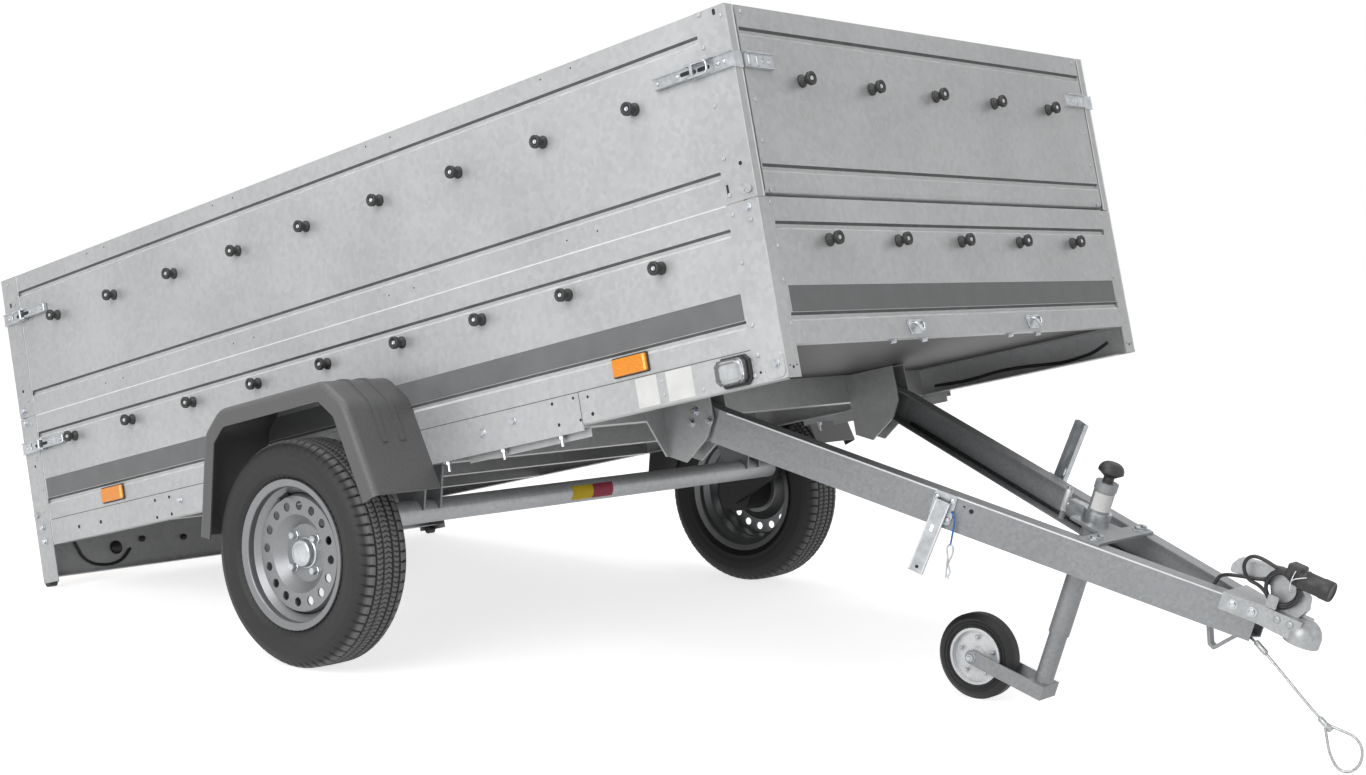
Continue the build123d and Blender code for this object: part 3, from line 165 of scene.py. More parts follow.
def skin(name, grids, material, body, smooth=True, joined=False):
    """One mesh from grids of points (rows, columns, 3) in metres, each closed round its columns.

    Quads join neighbouring rows and columns. The first and last rows are joined, or closed by one face each.
    """
    points, faces, start = [], [], 0
    for grid in grids:
        rows, columns = grid.shape[:2]
        index = start + np.arange(rows * columns).reshape(rows, columns)
        low, high = (index, np.roll(index, -1, axis=0)) if joined else (index[:-1], index[1:])
        quads = np.stack([low, np.roll(low, -1, axis=1), np.roll(high, -1, axis=1), high], axis=-1)
        faces += quads.reshape(-1, 4).tolist()
        if not joined:
            faces += [index[0, ::-1].tolist(), index[-1].tolist()]
        points.append(grid.reshape(-1, 3))
        start += rows * columns
    data = bpy.data.meshes.new(name)
    data.from_pydata(np.concatenate(points).tolist(), [], faces)
    data.polygons.foreach_set("use_smooth", np.full(len(data.polygons), smooth))
    data.materials.append(material)
    made = shown(name, data)
    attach(made, body)
    return made


def square_to(direction):
    """One direction made a unit and two square to it: across the floor, and the cross product of the two."""
    ahead = np.asarray(direction, float) / np.linalg.norm(direction)
    side = np.cross((0.0, 0.0, 1.0) if abs(ahead[2]) < 0.99 else (1.0, 0.0, 0.0), ahead)
    side = side / np.linalg.norm(side)
    return ahead, side, np.cross(ahead, side)


def turned(profile, places, axis, sides=24):
    """Surfaces of revolution: a profile of radius and rise in mm, turned about an axis through each place."""
    ahead, side, rise = square_to(axis)
    turn = np.linspace(0.0, 2.0 * np.pi, sides, endpoint=False)
    ring = np.cos(turn)[:, None] * side + np.sin(turn)[:, None] * rise
    profile = np.asarray(profile, float)[:, None, :] / 1000.0
    shape = profile[..., :1] * ring + profile[..., 1:] * ahead
    return [place + shape for place in np.atleast_2d(places)]


# Drawn wires laid into strands: bright ridges and dark grooves, drawn coarser than the wires so that they show.
wire_rope = grained("steel_wire_rope", 2.5, "#77797B", "#C6C8C9", 0.42, metal=0.85, relief=0.6)
rope_thick = 0.006
rope_start = on_bar([1260.8, -14.0, -36.0])
rope_run = rope_start + np.array([
    (0, 0, 0), (30, -16, -14), (92, -18, -72), (150, -18, -128), (176, -18, -150),
]) / 1000.0
loop_drop = rope_run[-1, 2] - rope_thick / 2 - 0.0003
loop_places = np.array([
    (0, 3, 0), (28, 5, 0.08), (58, 8, 0.17), (77, 8, 0.4), (76, 5, 0.78),
    (58, 1, 1), (34, -4, 1), (17, -6, 0.72), (8, -5, 0.42), (0, -3, 0),
])
rope_loop = rope_run[-1] + loop_places * np.array([0.001, 0.001, -loop_drop])
safety_cord = cord_line("safety_cord", np.concatenate([rope_run[:-1], rope_loop]), rope_thick)
safety_cord.data.materials.append(wire_rope)
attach(safety_cord, "drawbar")
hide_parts("safety_cable")
ferrule_profile = [(3.0, -17.0), (5.2, -17.0), (6.2, -15.5), (6.2, 15.5), (5.2, 17.0), (3.0, 17.0)]
ferrules = skin(
    "rope_ferrules",
    turned(ferrule_profile, rope_run[-1], rope_run[-1] - rope_run[-2])
    + turned(ferrule_profile, rope_run[1], rope_run[2] - rope_run[0]),
    wire_rope, "drawbar",
)
line_length(safety_cord)

# Lighting cable and its coil
# Black rubber-sheathed cable 8 mm thick from the left beam, wound into a loose coil beside the coupling's lever.
# Its end leaves the coil to the rear and turns forward over it into the plug.
cable_thick = 0.008
coil_middle = np.array([1292.0, -23.3, 92.285])
lead_route = np.array([
    (1060.3, 85.6, -32.7), (1103.0, 72.4, -32.7), (1134.0, 22.7, 28.3), (1152.0, -9.3, 62.3), (1192.0, -20.3, 78.3),
])
plug_route = np.array([
    (1244.9, -23.3, 79.7), (1217.0, -30.3, 82.3), (1202.0, -40.3, 110.3), (1214.0, -48.3, 138.3),
    (1246.0, -52.3, 144.3), (1277.7, -53.0, 137.3),
])
turn = np.linspace(0.0, 1.0, 57)
wind = np.radians(180.0 - turn * 1395.0)
coil_radius = 40.5 - 7.0 * np.abs(np.sin(turn * 7.0))
coil_route = coil_middle + np.stack([
    coil_radius * np.cos(wind), 6.5 * np.cos(turn * 11.0), coil_radius * np.sin(wind),
], axis=1)
cable_points = on_bar(np.concatenate([lead_route, coil_route, plug_route]))
# Extruded rubber sheath: a dull black with a faint sheen and fine dust.
cable_rubber = grained("extruded_cable_rubber", 12.0, "#1B1B1C", "#2E2E2F", 0.5)
lighting_cord = cord_line("lighting_cord", cable_points, cable_thick)
lighting_cord.data.materials.append(cable_rubber)
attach(lighting_cord, "drawbar")
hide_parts("plug_cable", "plug_coil")

# Plug of the lighting cable
# A moulded black plastic plug with a rubber boot and a ribbed grip; a white nylon tie holds it to the coil.
# Moulded polyamide: a satin black with the mould's fine grain, drawn at 1.6 mm so that it shows.
black_plastic = grained("moulded_black_polyamide", 1.6, "#222223", "#323233", 0.5, relief=0.15)
plug_profile = [
    (4.4, 0), (5.6, 1), (7.0, 8), (9.0, 20), (11.5, 29), (13.4, 31), (13.4, 36), (17.0, 37), (18.6, 39), (18.6, 52),
    (20.4, 54), (21.8, 56), (21.8, 58), (20.6, 60), (20.6, 63), (21.8, 65), (21.8, 67), (20.6, 69), (20.6, 100),
    (21.8, 102), (21.8, 121), (20.8, 123.6), (18.0, 124), (17.0, 122), (2.0, 121.5),
]
plug = skin("lighting_plug", turned(plug_profile, on_bar([1278.0, -53.0, 137.285]), bar_axes[0], 40),
            black_plastic, "drawbar")
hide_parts("plug")
line_length(lighting_cord)


def rounded(width, height, corner, middle=(0.0, 0.0), steps=4):
    """Outline of a rectangle with round corners, anticlockwise: quarter circles about its four corner centres."""
    turns = np.linspace(0.0, np.pi / 2, steps) + np.arange(4)[:, None] * np.pi / 2
    centres = np.array([(1, 1), (-1, 1), (-1, -1), (1, -1)]) * (width / 2 - corner, height / 2 - corner)
    arcs = centres[:, None] + corner * np.stack([np.cos(turns), np.sin(turns)], axis=-1)
    return arcs.reshape(-1, 2) + middle


def plate(outline, thick, home, right, up, edge=0.3):
    """A flat plate: an outline (right, up) in mm, anticlockwise, raised square to both by its thickness.

    Its top edge is bevelled: each point moves in along the mean normal of its two sides.
    """
    outline = np.asarray(outline, float)
    step = np.roll(outline, -1, axis=0) - outline
    normal = np.stack([step[:, 1], -step[:, 0]], axis=1) / np.linalg.norm(step, axis=1)[:, None]
    before = np.roll(normal, 1, axis=0)
    inner = outline - edge * (normal + before) / (1.0 + (normal * before).sum(axis=1))[:, None]
    rings = np.stack([outline, outline, inner])
    rises = np.array([0.0, thick - edge, thick])[:, None, None]
    return home + (rings[..., :1] * right + rings[..., 1:] * up + rises * np.cross(right, up)) / 1000.0


def smoothed(points, times=3):
    """The bends of a stiff wire or tie: each straight gives way to its quarter and three-quarter points, some times."""
    points = np.asarray(points, float)
    for _ in range(times):
        cuts = np.stack([0.75 * points[:-1] + 0.25 * points[1:], 0.25 * points[:-1] + 0.75 * points[1:]], axis=1)
        points = np.concatenate([points[:1], cuts.reshape(-1, 3), points[-1:]])
    return points


def tube(path, radius, sides=12):
    """A round bar along a path in metres: a ring of a radius in mm square to the path at each of its points."""
    ahead = np.gradient(path, axis=0)
    ahead = ahead / np.linalg.norm(ahead, axis=1)[:, None]
    plane = np.linalg.svd(path - path.mean(axis=0))[2][2]
    side = np.cross(plane, ahead)
    side = side / np.linalg.norm(side, axis=1)[:, None]
    rise = np.cross(ahead, side)
    turn = np.linspace(0.0, 2.0 * np.pi, sides, endpoint=False)[:, None]
    ring = np.cos(turn) * side[:, None] + np.sin(turn) * rise[:, None]
    return path[:, None] + ring * radius / 1000.0


skin("plug_lid", [
    plate(rounded(34, 30, 5, (1319, 148)), 30.0, on_bar([0, -38.0, 0]), bar_axes[0], bar_axes[2], edge=3.0)
], black_plastic, "drawbar", smooth=False)
# Extruded nylon: milky white with a soft shine.
white_nylon = grained("extruded_white_nylon", 6.0, "#DEDEDE", "#EEEEEE", 0.4)
tie_turn = np.linspace(0.0, 2.0 * np.pi, 40, endpoint=False)
tie_ring = on_bar(np.stack([
    np.full(40, 1322.0), -50.0 + 25.0 * np.cos(tie_turn), 131.0 + 29.0 * np.sin(tie_turn),
], axis=1))
tie_tail = smoothed(on_bar([(1322, -75, 131), (1330, -80, 140), (1352, -82, 152)]))
skin("plug_tie", [tube(np.concatenate([tie_ring, tie_ring[:1]]), 1.1, 8), tube(tie_tail, 1.1, 8)], white_nylon,
     "drawbar")
# A blank grey tag of pressed card hangs on the coil's lower turns.
skin("coil_tag", [
    plate(rounded(24, 28, 2, (1286, 62)), 3.0, on_bar([0, -35.5, 0]), bar_axes[0], bar_axes[2], edge=0.5)
], grained("pressed_grey_card", 6.0, "#A4A5A6", "#B4B5B6", 0.7), "drawbar", smooth=False)

# Latch cord and its spring clip
# A blue braided cord 4 mm thick hangs from the right latch and keeps a spring clip bent from zinc-plated wire.
# Braided polyester: a strong mid blue with fine darker crossings, drawn at 2 mm so that they show.
blue_braid = grained("braided_blue_polyester", 2.0, "#1D4E96", "#3C7DCB", 0.75, relief=0.4)
latch_points = on_bar([
    (617.09, -238.28, 4.0), (628.78, -238.84, -2.0), (634.15, -239.27, -22.0), (635.76, -237.72, -46.0),
    (638.92, -237.78, -68.0),
])
latch_line = cord_line("clip_cord", latch_points, 0.004)
latch_line.data.materials.append(blue_braid)
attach(latch_line, "drawbar")
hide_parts("latch_cord")
# Electro-plated zinc: a clear bright grey with a slight blue cast and soft wear.
zinc_plated = grained("bright_zinc_plate", 18.0, "#A9ACAF", "#C4C7CA", 0.3, metal=0.9)
clip_along, clip_over = np.array([20.08, -0.5, -91.0]) / 93.2, np.array([91.0, 0.0, 20.08]) / 93.2
clip_bends = np.array([
    (70, -3), (40, -3), (22, -3), (8, -8), (-5, -4), (-5, 6), (8, 10), (22, 6), (32, 1), (42, 0), (52, 6), (60, 6),
    (66, 2), (71, 4),
])
clip_route = [638.92, -237.78, -71.0] + clip_bends[:, :1] * clip_along + clip_bends[:, 1:] * clip_over
clip_wire = skin("spring_clip", [tube(smoothed(on_bar(clip_route)), 2.0)], zinc_plated, "drawbar")
line_length(latch_line)

# Floor, background and light
# A plain pale studio floor; broad soft lamps from the trailer's right and ahead, and an even white surround.


def by_view(tree, bounced, seen):
    """A level for a node tree: seen on camera, glossy and transmission rays (the largest of three), else bounced."""
    path = node(tree, "ShaderNodeLightPath", {}, {})
    straight = node(tree, "ShaderNodeMath", {"operation": "MAXIMUM"},
                    {0: (path, "Is Camera Ray"), 1: (path, "Is Glossy Ray")})
    shown = node(tree, "ShaderNodeMath", {"operation": "MAXIMUM"},
                 {0: (straight, "Value"), 1: (path, "Is Transmission Ray")})
    return node(tree, "ShaderNodeMapRange", {"To Min": bounced, "To Max": seen}, {"Value": (shown, "Value")})


# Matt white paint: it takes the shadow, and the camera sees it lifted to the white of the surround.
studio_paint = grained("painted_studio_floor", 250.0, "#C9C9C9", "#CFCFCF", 0.85)
tree = studio_paint.node_tree
shader = tree.nodes["Principled BSDF"]
shader.inputs["Emission Color"].default_value = (1.0, 1.0, 1.0, 1.0)
tree.links.new(by_view(tree, 0.0, 0.74).outputs["Result"], shader.inputs["Emission Strength"])
floor_data = bpy.data.meshes.new("studio_floor")
floor_data.from_pydata([(-40, -40, 0), (40, -40, 0), (40, 40, 0), (-40, 40, 0)], [], [(0, 1, 2, 3)])
floor_data.materials.append(studio_paint)
floor = shown("studio_floor", floor_data)

surround = bpy.data.worlds.new("studio_surround")
surround.use_nodes = True
bpy.context.scene.world = surround
tree = surround.node_tree
backdrop = tree.nodes["Background"]
backdrop.inputs["Color"].default_value = (1.0, 1.0, 1.0, 1.0)
tree.links.new(by_view(tree, 0.38, 1.0).outputs["Result"], backdrop.inputs["Strength"])

for lamp_name, place, aim, size, power in (
    ("side_lamp", (1.2, -6.5, 3.6), (-0.1, -0.5, 0.8), 5.0, 320.0),
    ("front_lamp", (6.5, 1.0, 2.6), (0.5, 0.0, 0.7), 3.0, 30.0),
    ("top_lamp", (-0.5, -0.7, 6.0), (-0.5, 0.0, 0.0), 5.0, 190.0),
):
    lamp_data = bpy.data.lights.new(lamp_name, "AREA")
    lamp_data.shape = "DISK"
    lamp_data.size = size
    lamp_data.energy = power
    lamp = shown(lamp_name, lamp_data)
    away, lamp_side, lamp_rise = square_to(np.array(place) - np.array(aim))
    lamp.matrix_world = Matrix([[lamp_side[i], lamp_rise[i], away[i], place[i]] for i in range(3)] + [[0, 0, 0, 1]])

# Bed box: boards, posts, rails and cross members
# Folded from hot-dip galvanised steel sheet 1.5 to 2.5 mm thick, with grooves pressed along the boards.
bed_lean = np.radians(14.26350)
bed_axes = np.array([
    [np.cos(bed_lean), 0.0, np.sin(bed_lean)], [0.0, 1.0, 0.0], [-np.sin(bed_lean), 0.0, np.cos(bed_lean)],
])
bed_home = hinge - np.array([2.184, 0.0, -0.010]) @ bed_axes
board_out, post_out, bed_front = 753.0, 755.0, 2720.0


def on_bed(places):
    """Places on the bed in mm (forward of its rear face, left, above its foot) as metres: home plus the bed's axes."""
    return bed_home + np.asarray(places, float) / 1000.0 @ bed_axes


def side_face(side, out=post_out):
    """Home, right and up of the bed's right (-1) or left (1) face, out mm from its middle: right is -side times x."""
    return on_bed([0.0, side * out, 0.0]), -side * bed_axes[0], bed_axes[2]


def end_face(end, out):
    """Home, right and up of the bed's front (1) or rear (-1) face, out mm ahead of its rear: right is end times y."""
    return on_bed([out, 0.0, 0.0]), end * bed_axes[1], bed_axes[2]


def dress(material, *names):
    """Gives CAD nodes one material in place of their own."""
    for name in names:
        frame["nodes"][name].data.materials.clear()
        frame["nodes"][name].data.materials.append(material)


def coated(name, crystal, dark, light, rough):
    """A zinc coat: crystals of a size in mm (Voronoi cells) mixed faintly into clouds of noise 320 mm across."""
    made, tree, _, coords, driven = finish(name, dark, light, rough, 0.4, 0.28, 0.08)
    spangle = node(tree, "ShaderNodeTexVoronoi", {"Scale": 1000.0 / crystal}, {"Vector": (coords, "Object")})
    cloud = node(tree, "ShaderNodeTexNoise", {"Scale": 1000.0 / 320.0, "Detail": 3.0}, {"Vector": (coords, "Object")})
    blend = node(tree, "ShaderNodeMix", {"data_type": "FLOAT", 0: 0.28}, {2: (cloud, "Fac"), 3: (spangle, "Color")})
    for socket in driven:
        tree.links.new(blend.outputs[0], socket)
    return made


# Zinc crystals about 12 mm across show as a faint spangle, and the dull coat softens every reflection.
galvanised = coated("galvanised_sheet_steel", 12.0, "#A8A9AA", "#BBBCBD", 0.4)
dress(galvanised, "lower_side_right", "lower_side_left", "upper_side_right", "upper_side_left", "front_lower_board",
      "front_upper_board", "rear_upper_gate", "rear_lower_gate", "front_posts", "rear_posts", "side_rail_right",
      "side_rail_left", "cross_members", "rear_lamp_bar", "hinge_bracket_right", "hinge_bracket_left")

# Pressed and folded edges of the boards and posts
# Painted highlight: a bright strip lies along each groove's lower edge and along the folds. Painted shade: a dark
# strip lies on each groove's upper edge, which faces down. Both are thin strips laid on the sheet's coat.
painted_highlight_zinc = grained("zinc_painted_highlight", 40.0, "#D4D5D6", "#E6E7E8", 0.3, metal=0.3)
painted_shade_zinc = grained("zinc_painted_crease_shade", 40.0, "#4A4B4C", "#5C5D5E", 0.7)


def groove_edges(home, right, up, level, middle, length):
    """The two slopes of a pressed groove 18 wide and 5 deep at a level, each a thin strip laid on its slope.

    A slope's up is 6 of the face's up with 5 of its outward, out for the upper slope and in for the lower one.
    """
    out = np.cross(right, up)
    upper, lower = (6 * up + 5 * out) / 61 ** 0.5, (6 * up - 5 * out) / 61 ** 0.5
    upper_home, lower_home = home + (up * (level + 3) - 5 * out) / 1000, home + up * (level - 9) / 1000
    return (
        plate(rounded(length, 7.2, 0.5, (middle, 3.8)), 0.25, upper_home, right, upper, 0.1),
        plate(rounded(length, 7.2, 0.5, (middle, 3.9)), 0.25, lower_home, right, lower, 0.1),
    )


def strip(face, width, height, middle, corner=0.5, thick=0.3):
    """A thin flat strip on a face (home, right, up): a rounded rectangle about its middle, raised by its thickness."""
    return plate(rounded(width, height, corner, middle), thick, *face, edge=0.1)


upper_grooves, lower_grooves = (435.0, 723.0), (124.0, 315.0)
board_faces = {side: side_face(side, board_out) for side in (-1, 1)}
front_face, rear_face = end_face(1, bed_front), end_face(-1, 0.0)
board_runs = (
    ("bed", [(*board_faces[side], level, -side * 1357, 2560) for side in (-1, 1)
             for level in upper_grooves + lower_grooves]
     + [(*front_face, level, 0, 1408) for level in lower_grooves]),
    ("front_upper", [(*front_face, level, 0, 1434) for level in upper_grooves]),
    ("rear_upper", [(*rear_face, level, 0, 1434) for level in upper_grooves]),
    ("rear_lower", [(*rear_face, level, 0, 1398) for level in lower_grooves]),
)
# Each groove gets a painted shade strip on its upper slope and a painted highlight strip on its lower slope.
for body, runs in board_runs:
    edges = [groove_edges(*run) for run in runs]
    skin(body + "_painted_shade_edges", [edge[0] for edge in edges], painted_shade_zinc, body, smooth=False)
    skin(body + "_painted_highlight_edges", [edge[1] for edge in edges], painted_highlight_zinc, body, smooth=False)
# Painted highlights along the boards' folds and the posts' edges.
skin("painted_highlight_folds", [
    grid for side in (-1, 1) for grid in (
        strip(board_faces[side], 2560, 3.0, (-side * 1357, 372.0)),
        strip(board_faces[side], 2.4, 366, (-side * 75.0, 189)),
        strip(board_faces[side], 2.4, 400, (-side * 75.0, 576)),
        strip(front_face, 4.0, 400, (side * 752.6, 576)),
        strip(front_face, 4.0, 400, (side * 728.0, 576)),
        strip(front_face, 4.0, 366, (side * 752.6, 188)),
    )
], painted_highlight_zinc, "bed", smooth=False)
# Painted shade: dark lines along the seam where the boards meet the rails, and down one joint of each rail.
skin("rail_seam_painted_shade", [
    grid for side in (-1, 1) for grid in (
        strip(board_faces[side], 2066, 1.8, (-side * 1115, 71.2), 0.4),
        strip(side_face(side), 488, 1.8, (-side * 2394, 71.2), 0.4),
        strip(side_face(side), 1.8, 70, (-side * 2151, 35), 0.4),
    )
], painted_shade_zinc, "bed", smooth=False)

# Stripes on the lower boards
# Dark grey vinyl film stuck on above the lowest groove, along both sides and across the front.
# Printed film: a flat even grey with a satin face.
stripe_film = grained("satin_vinyl_film", 60.0, "#626364", "#6B6C6D", 0.5)
skin("board_stripes", [
    *[strip(board_faces[side], 2556, 55, (-side * 1358, 161.5), 0.6) for side in (-1, 1)],
    strip(front_face, 1400, 55, (0, 161.5), 0.6),
], stripe_film, "bed", smooth=False)

# Rivets, bolts and punched holes of the bed
# Blind rivets and plated bolts join the posts, rails and boards; spare punched holes show dark.
rivet_dome = [(5.4, 0.0), (5.3, 0.8), (4.4, 2.0), (2.8, 2.8), (1.6, 2.6), (0.9, 1.9)]
bolt_washer = [(11.0, 0.0), (11.0, 1.6), (10.4, 2.0), (6.0, 2.0)]
bolt_head = [(7.6, 1.8), (7.6, 6.6), (6.6, 7.8), (2.0, 7.8)]
post_rivets = [
    (2653, 772), (2707, 755), (2651, 703), (2654, 579), (2654, 468), (2653, 391), (2652, 351), (2696, 331),
    (2654, 250), (2654, 120), (2640, 18), (2655, 58), (30, 760), (52, 700), (52, 560), (52, 420), (52, 351),
    (52, 250), (60, 161), (52, 100),
]
post_bolts = [(2693, 397), (2692, 356), (24, 393), (24, 357), (36, 54), (36, 14)]
rail_rivets = [(2392, 22), (2392, 52), (2500, 14), (2540, 58)]
rail_bolts = [(681, 41), (1190, 36), (1460, 36), (1838, 31), (1939, 41)]
front_rivets = [(y, z) for y in (-700, 700) for z in (765, 578, 492, 388)]
lower_front_rivets = [(y, z) for y in (-711, 711) for z in (363, 271, 200, 110)]


def on_side(side, marks, out=post_out):
    """Places of marks (x, z) on the bed's right (-1) or left (1) face, out mm from its middle, in metres."""
    return on_bed([(x, side * out, z) for x, z in marks])


def bolts(places, axis):
    """Hexagon bolts at places, heads along an axis: a washer's profile turned round, a head's turned in six sides."""
    return turned(bolt_washer, places, axis) + turned(bolt_head, places, axis, 6)


def side_bolts(marks, out):
    """The same bolts on both sides of the bed, at marks (x, z) on faces out mm from its middle."""
    return [grid for side in (-1, 1) for grid in bolts(on_side(side, marks, out), (0, side, 0))]


skin("bed_rivets", [grid for side in (-1, 1) for grid in
                    turned(rivet_dome, on_side(side, post_rivets), (0, side, 0), 12)
                    + turned(rivet_dome, on_side(side, rail_rivets, 754.6), (0, side, 0), 12)]
     + turned(rivet_dome, on_bed([(bed_front, y, z) for y, z in lower_front_rivets]), bed_axes[0], 12),
     galvanised, "bed")
skin("front_board_rivets", turned(rivet_dome, on_bed([(2719.8, y, z) for y, z in front_rivets]), bed_axes[0], 12),
     galvanised, "front_upper")
skin("bed_bolts", side_bolts(post_bolts, post_out) + side_bolts(rail_bolts, 752.8),
     zinc_plated, "bed", smooth=False)
# The shade inside a punched hole: near black, with the dull grey of the sheet's inner side.
hole_shade = grained("shade_inside_sheet", 15.0, "#191919", "#232323", 0.8)
hole_marks = [(2694, 449, 9, 9), (2692, 767, 8, 14), (2651, 403, 6, 22), (2670, 22, 6, 6), (2690, 22, 6, 6),
              (2655, 22, 6, 6), (33, 700, 8, 14), (33, 449, 9, 9), (40, 230, 7, 7), (2177, 56, 7, 7), (2184, 17, 9, 9)]
board_dots = [(x, z, 4.2, 4.2) for x in (430, 512, 1000, 1084, 1602, 1690, 2190, 2282) for z in (765, 402)]
rail_holes = [(208, 34, 11, 11), (314, 33, 11, 11), (573, 56, 9, 9), (637, 56, 9, 9), (572, 10, 9, 9), (638, 10, 9, 9),
              (2067, 59, 8, 8), (2078, 10, 8, 8), (2132, 61, 7, 7), (2144, 10, 7, 7)]


def hole(face, width, height, middle):
    """A punched hole's dark shade: a strip 0.25 thick, rounded by almost half of its lesser size."""
    return strip(face, width, height, middle, min(width, height) / 2 - 0.01, 0.25)


skin("punched_holes", [
    hole(side_face(side, out), wide, high, (-side * x, z))
    for side in (-1, 1) for marks, out in ((hole_marks, post_out), (rail_holes + board_dots, board_out))
    for x, z, wide, high in marks
] + [
    hole(front_face, wide, wide, (side * y, z))
    for side in (-1, 1) for y, z, wide in ((740, 25, 4), (729, 21, 7), (717, 25, 4))
], hole_shade, "bed", smooth=False)

# Foot tabs of the front posts
# A rounded tab of folded sheet laid over each front post's foot, with the post's lowest bolt in it.
skin("post_foot_tabs", [
    plate(rounded(50, 54, 14, (-side * 2694, 30)), 3.0, *side_face(side), edge=1.2) for side in (-1, 1)
], galvanised, "bed", smooth=False)
skin("post_foot_bolts", side_bolts([(2697, 32)], 757.8), zinc_plated, "bed", smooth=False)

# Corner latches
# Zinc-plated over-centre latches: a strap bent round the post, a box buckle with a bail and a long channel lever.
# A latch's flat parts: how far back from the corner, rise, width, height, corner, thickness and bevel.
latch_bars = (
    (51, 0, 114, 34, 1.5, 3.0, 0.8), (53, 15.6, 110, 2.4, 0.8, 10.0, 0.6), (53, -15.6, 110, 2.4, 0.8, 10.0, 0.6),
    (98, 0, 8, 30, 1.5, 20.0, 1.5), (158, 0, 100, 25, 3.0, 11.0, 1.0), (158, 11.4, 100, 2.4, 0.8, 16.0, 0.6),
    (158, -11.4, 100, 2.4, 0.8, 16.0, 0.6),
)
bail_bends = ((112, 14, -13), (112, 18, -13), (66, 17, -13), (58, 16, -10), (58, 16, 10), (66, 17, 13),
              (112, 18, 13), (112, 14, 13))
upper_latch_z, lower_latch_z = 661, 286
latch_corners = ((bed_front, 1, upper_latch_z, 30), (0, -1, upper_latch_z, 30), (0, -1, lower_latch_z, 48))
latch_shapes, latch_rods, latch_rivets = [], [], []
for corner_x, ahead, latch_z, flange in latch_corners:
    for side in (-1, 1):
        latch_shapes += [
            plate(rounded(wide, high, corner, (-side * (corner_x - ahead * back), latch_z + rise)), thick,
                  *side_face(side), edge=edge)
            for back, rise, wide, high, corner, thick, edge in latch_bars
        ]
        latch_shapes.append(plate(rounded(flange + 3, 34, 1.5, (ahead * side * (756 - flange / 2), latch_z)), 3.0,
                                  *end_face(ahead, corner_x), edge=0.8))
        bail = [(corner_x - ahead * back, side * (post_out + out), latch_z + rise) for back, out, rise in bail_bends]
        latch_rods.append(tube(smoothed(on_bed(bail), 2), 2.6, 10))
        for backs, out in (((140, 196), 765.8), ((20, 36), 757.9)):
            places = on_side(side, [(corner_x - ahead * back, latch_z) for back in backs], out)
            latch_rivets += turned(rivet_dome, places, (0, side, 0), 12)
latch_metal = skin("latch_straps", latch_shapes, zinc_plated, "bed", smooth=False)
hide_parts("corner_latches")
skin("latch_bails", latch_rods + latch_rivets, zinc_plated, "bed")
skin("latch_windows", [
    strip(side_face(side, out), wide, 9, (-side * (corner_x - ahead * back), latch_z), 4.4)
    for corner_x, ahead, latch_z, _ in latch_corners for side in (-1, 1)
    for wide, back, out in ((26, 120, 766.0), (34, 76, 758.0))
], hole_shade, "bed", smooth=False)
for body, end, out, half_span, latch_z in (
    ("front_upper", 1, bed_front + 4, 720, upper_latch_z), ("rear_upper", -1, -4, 720, upper_latch_z),
    ("rear_lower", -1, -4, 702, lower_latch_z),
):
    skin(body + "_keeper_plates", [
        plate(rounded(95, high, 1.0, (end * side * (half_span - 47.5), latch_z + rise)), thick,
              *end_face(end, out), edge=0.4)
        for side in (-1, 1) for high, rise, thick in ((34, 0, 0.8), (2.4, 15.6, 7.0), (2.4, -15.6, 7.0))
    ], zinc_plated, body, smooth=False)
    skin(body + "_keeper_ribs", [
        plate(rounded(7, 24, 2.0, (end * side * (half_span - inset), latch_z)), 2.4, *end_face(end, out), edge=1.2)
        for side in (-1, 1) for inset in (14, 42)
    ] + turned(rivet_dome, on_bed([
        (out, side * (half_span - inset), latch_z) for side in (-1, 1) for inset in (60, 82)
    ]), end * bed_axes[0], 12), zinc_plated, body)

# Knobs for the cover cord
# Turned-shape spools of moulded black plastic, each held by a plated screw in its hollow face.
knob_profile = [
    (14.4, 0), (14.4, 3), (12.5, 6), (9.4, 9), (8.8, 14), (9.4, 17), (12.5, 19), (14.6, 20.5), (15, 22), (15, 28.5),
    (14.2, 29.8), (12, 30.2), (9, 29.2), (7.6, 27), (7, 26),
]
screw_profile = [(5.4, 25.0), (5.4, 27.6), (4.6, 28.4), (2.6, 28.6), (2.2, 27.4)]
side_knob_x = 253.0 + 273.5 * np.arange(9)
end_knob_y = 263.0 * (np.arange(5) - 2)
lower_knob_z, upper_knob_z = 285, 629
knob_rows = {
    "bed_knobs": ("bed", [
        *[(on_bed([(x, side * board_out, z) for x in side_knob_x for z in (lower_knob_z, upper_knob_z)]),
           side * bed_axes[1]) for side in (-1, 1)],
        (on_bed([(bed_front, y, lower_knob_z) for y in end_knob_y]), bed_axes[0]),
    ]),
    "front_upper_knobs": ("front_upper", [(on_bed([(bed_front, y, upper_knob_z) for y in end_knob_y]), bed_axes[0])]),
    "rear_upper_knobs": ("rear_upper", [(on_bed([(0, y, upper_knob_z) for y in end_knob_y]), -bed_axes[0])]),
    "rear_lower_knobs": ("rear_lower", [(on_bed([(0, y, lower_knob_z) for y in end_knob_y]), -bed_axes[0])]),
}
for row, (body, groups) in knob_rows.items():
    spools = skin(row + "_spools", [grid for places, axis in groups for grid in turned(knob_profile, places, axis)],
                  black_plastic, body)
    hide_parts(row)
    skin(row + "_screws", [grid for places, axis in groups for grid in turned(screw_profile, places, axis, 16)],
         zinc_plated, body)

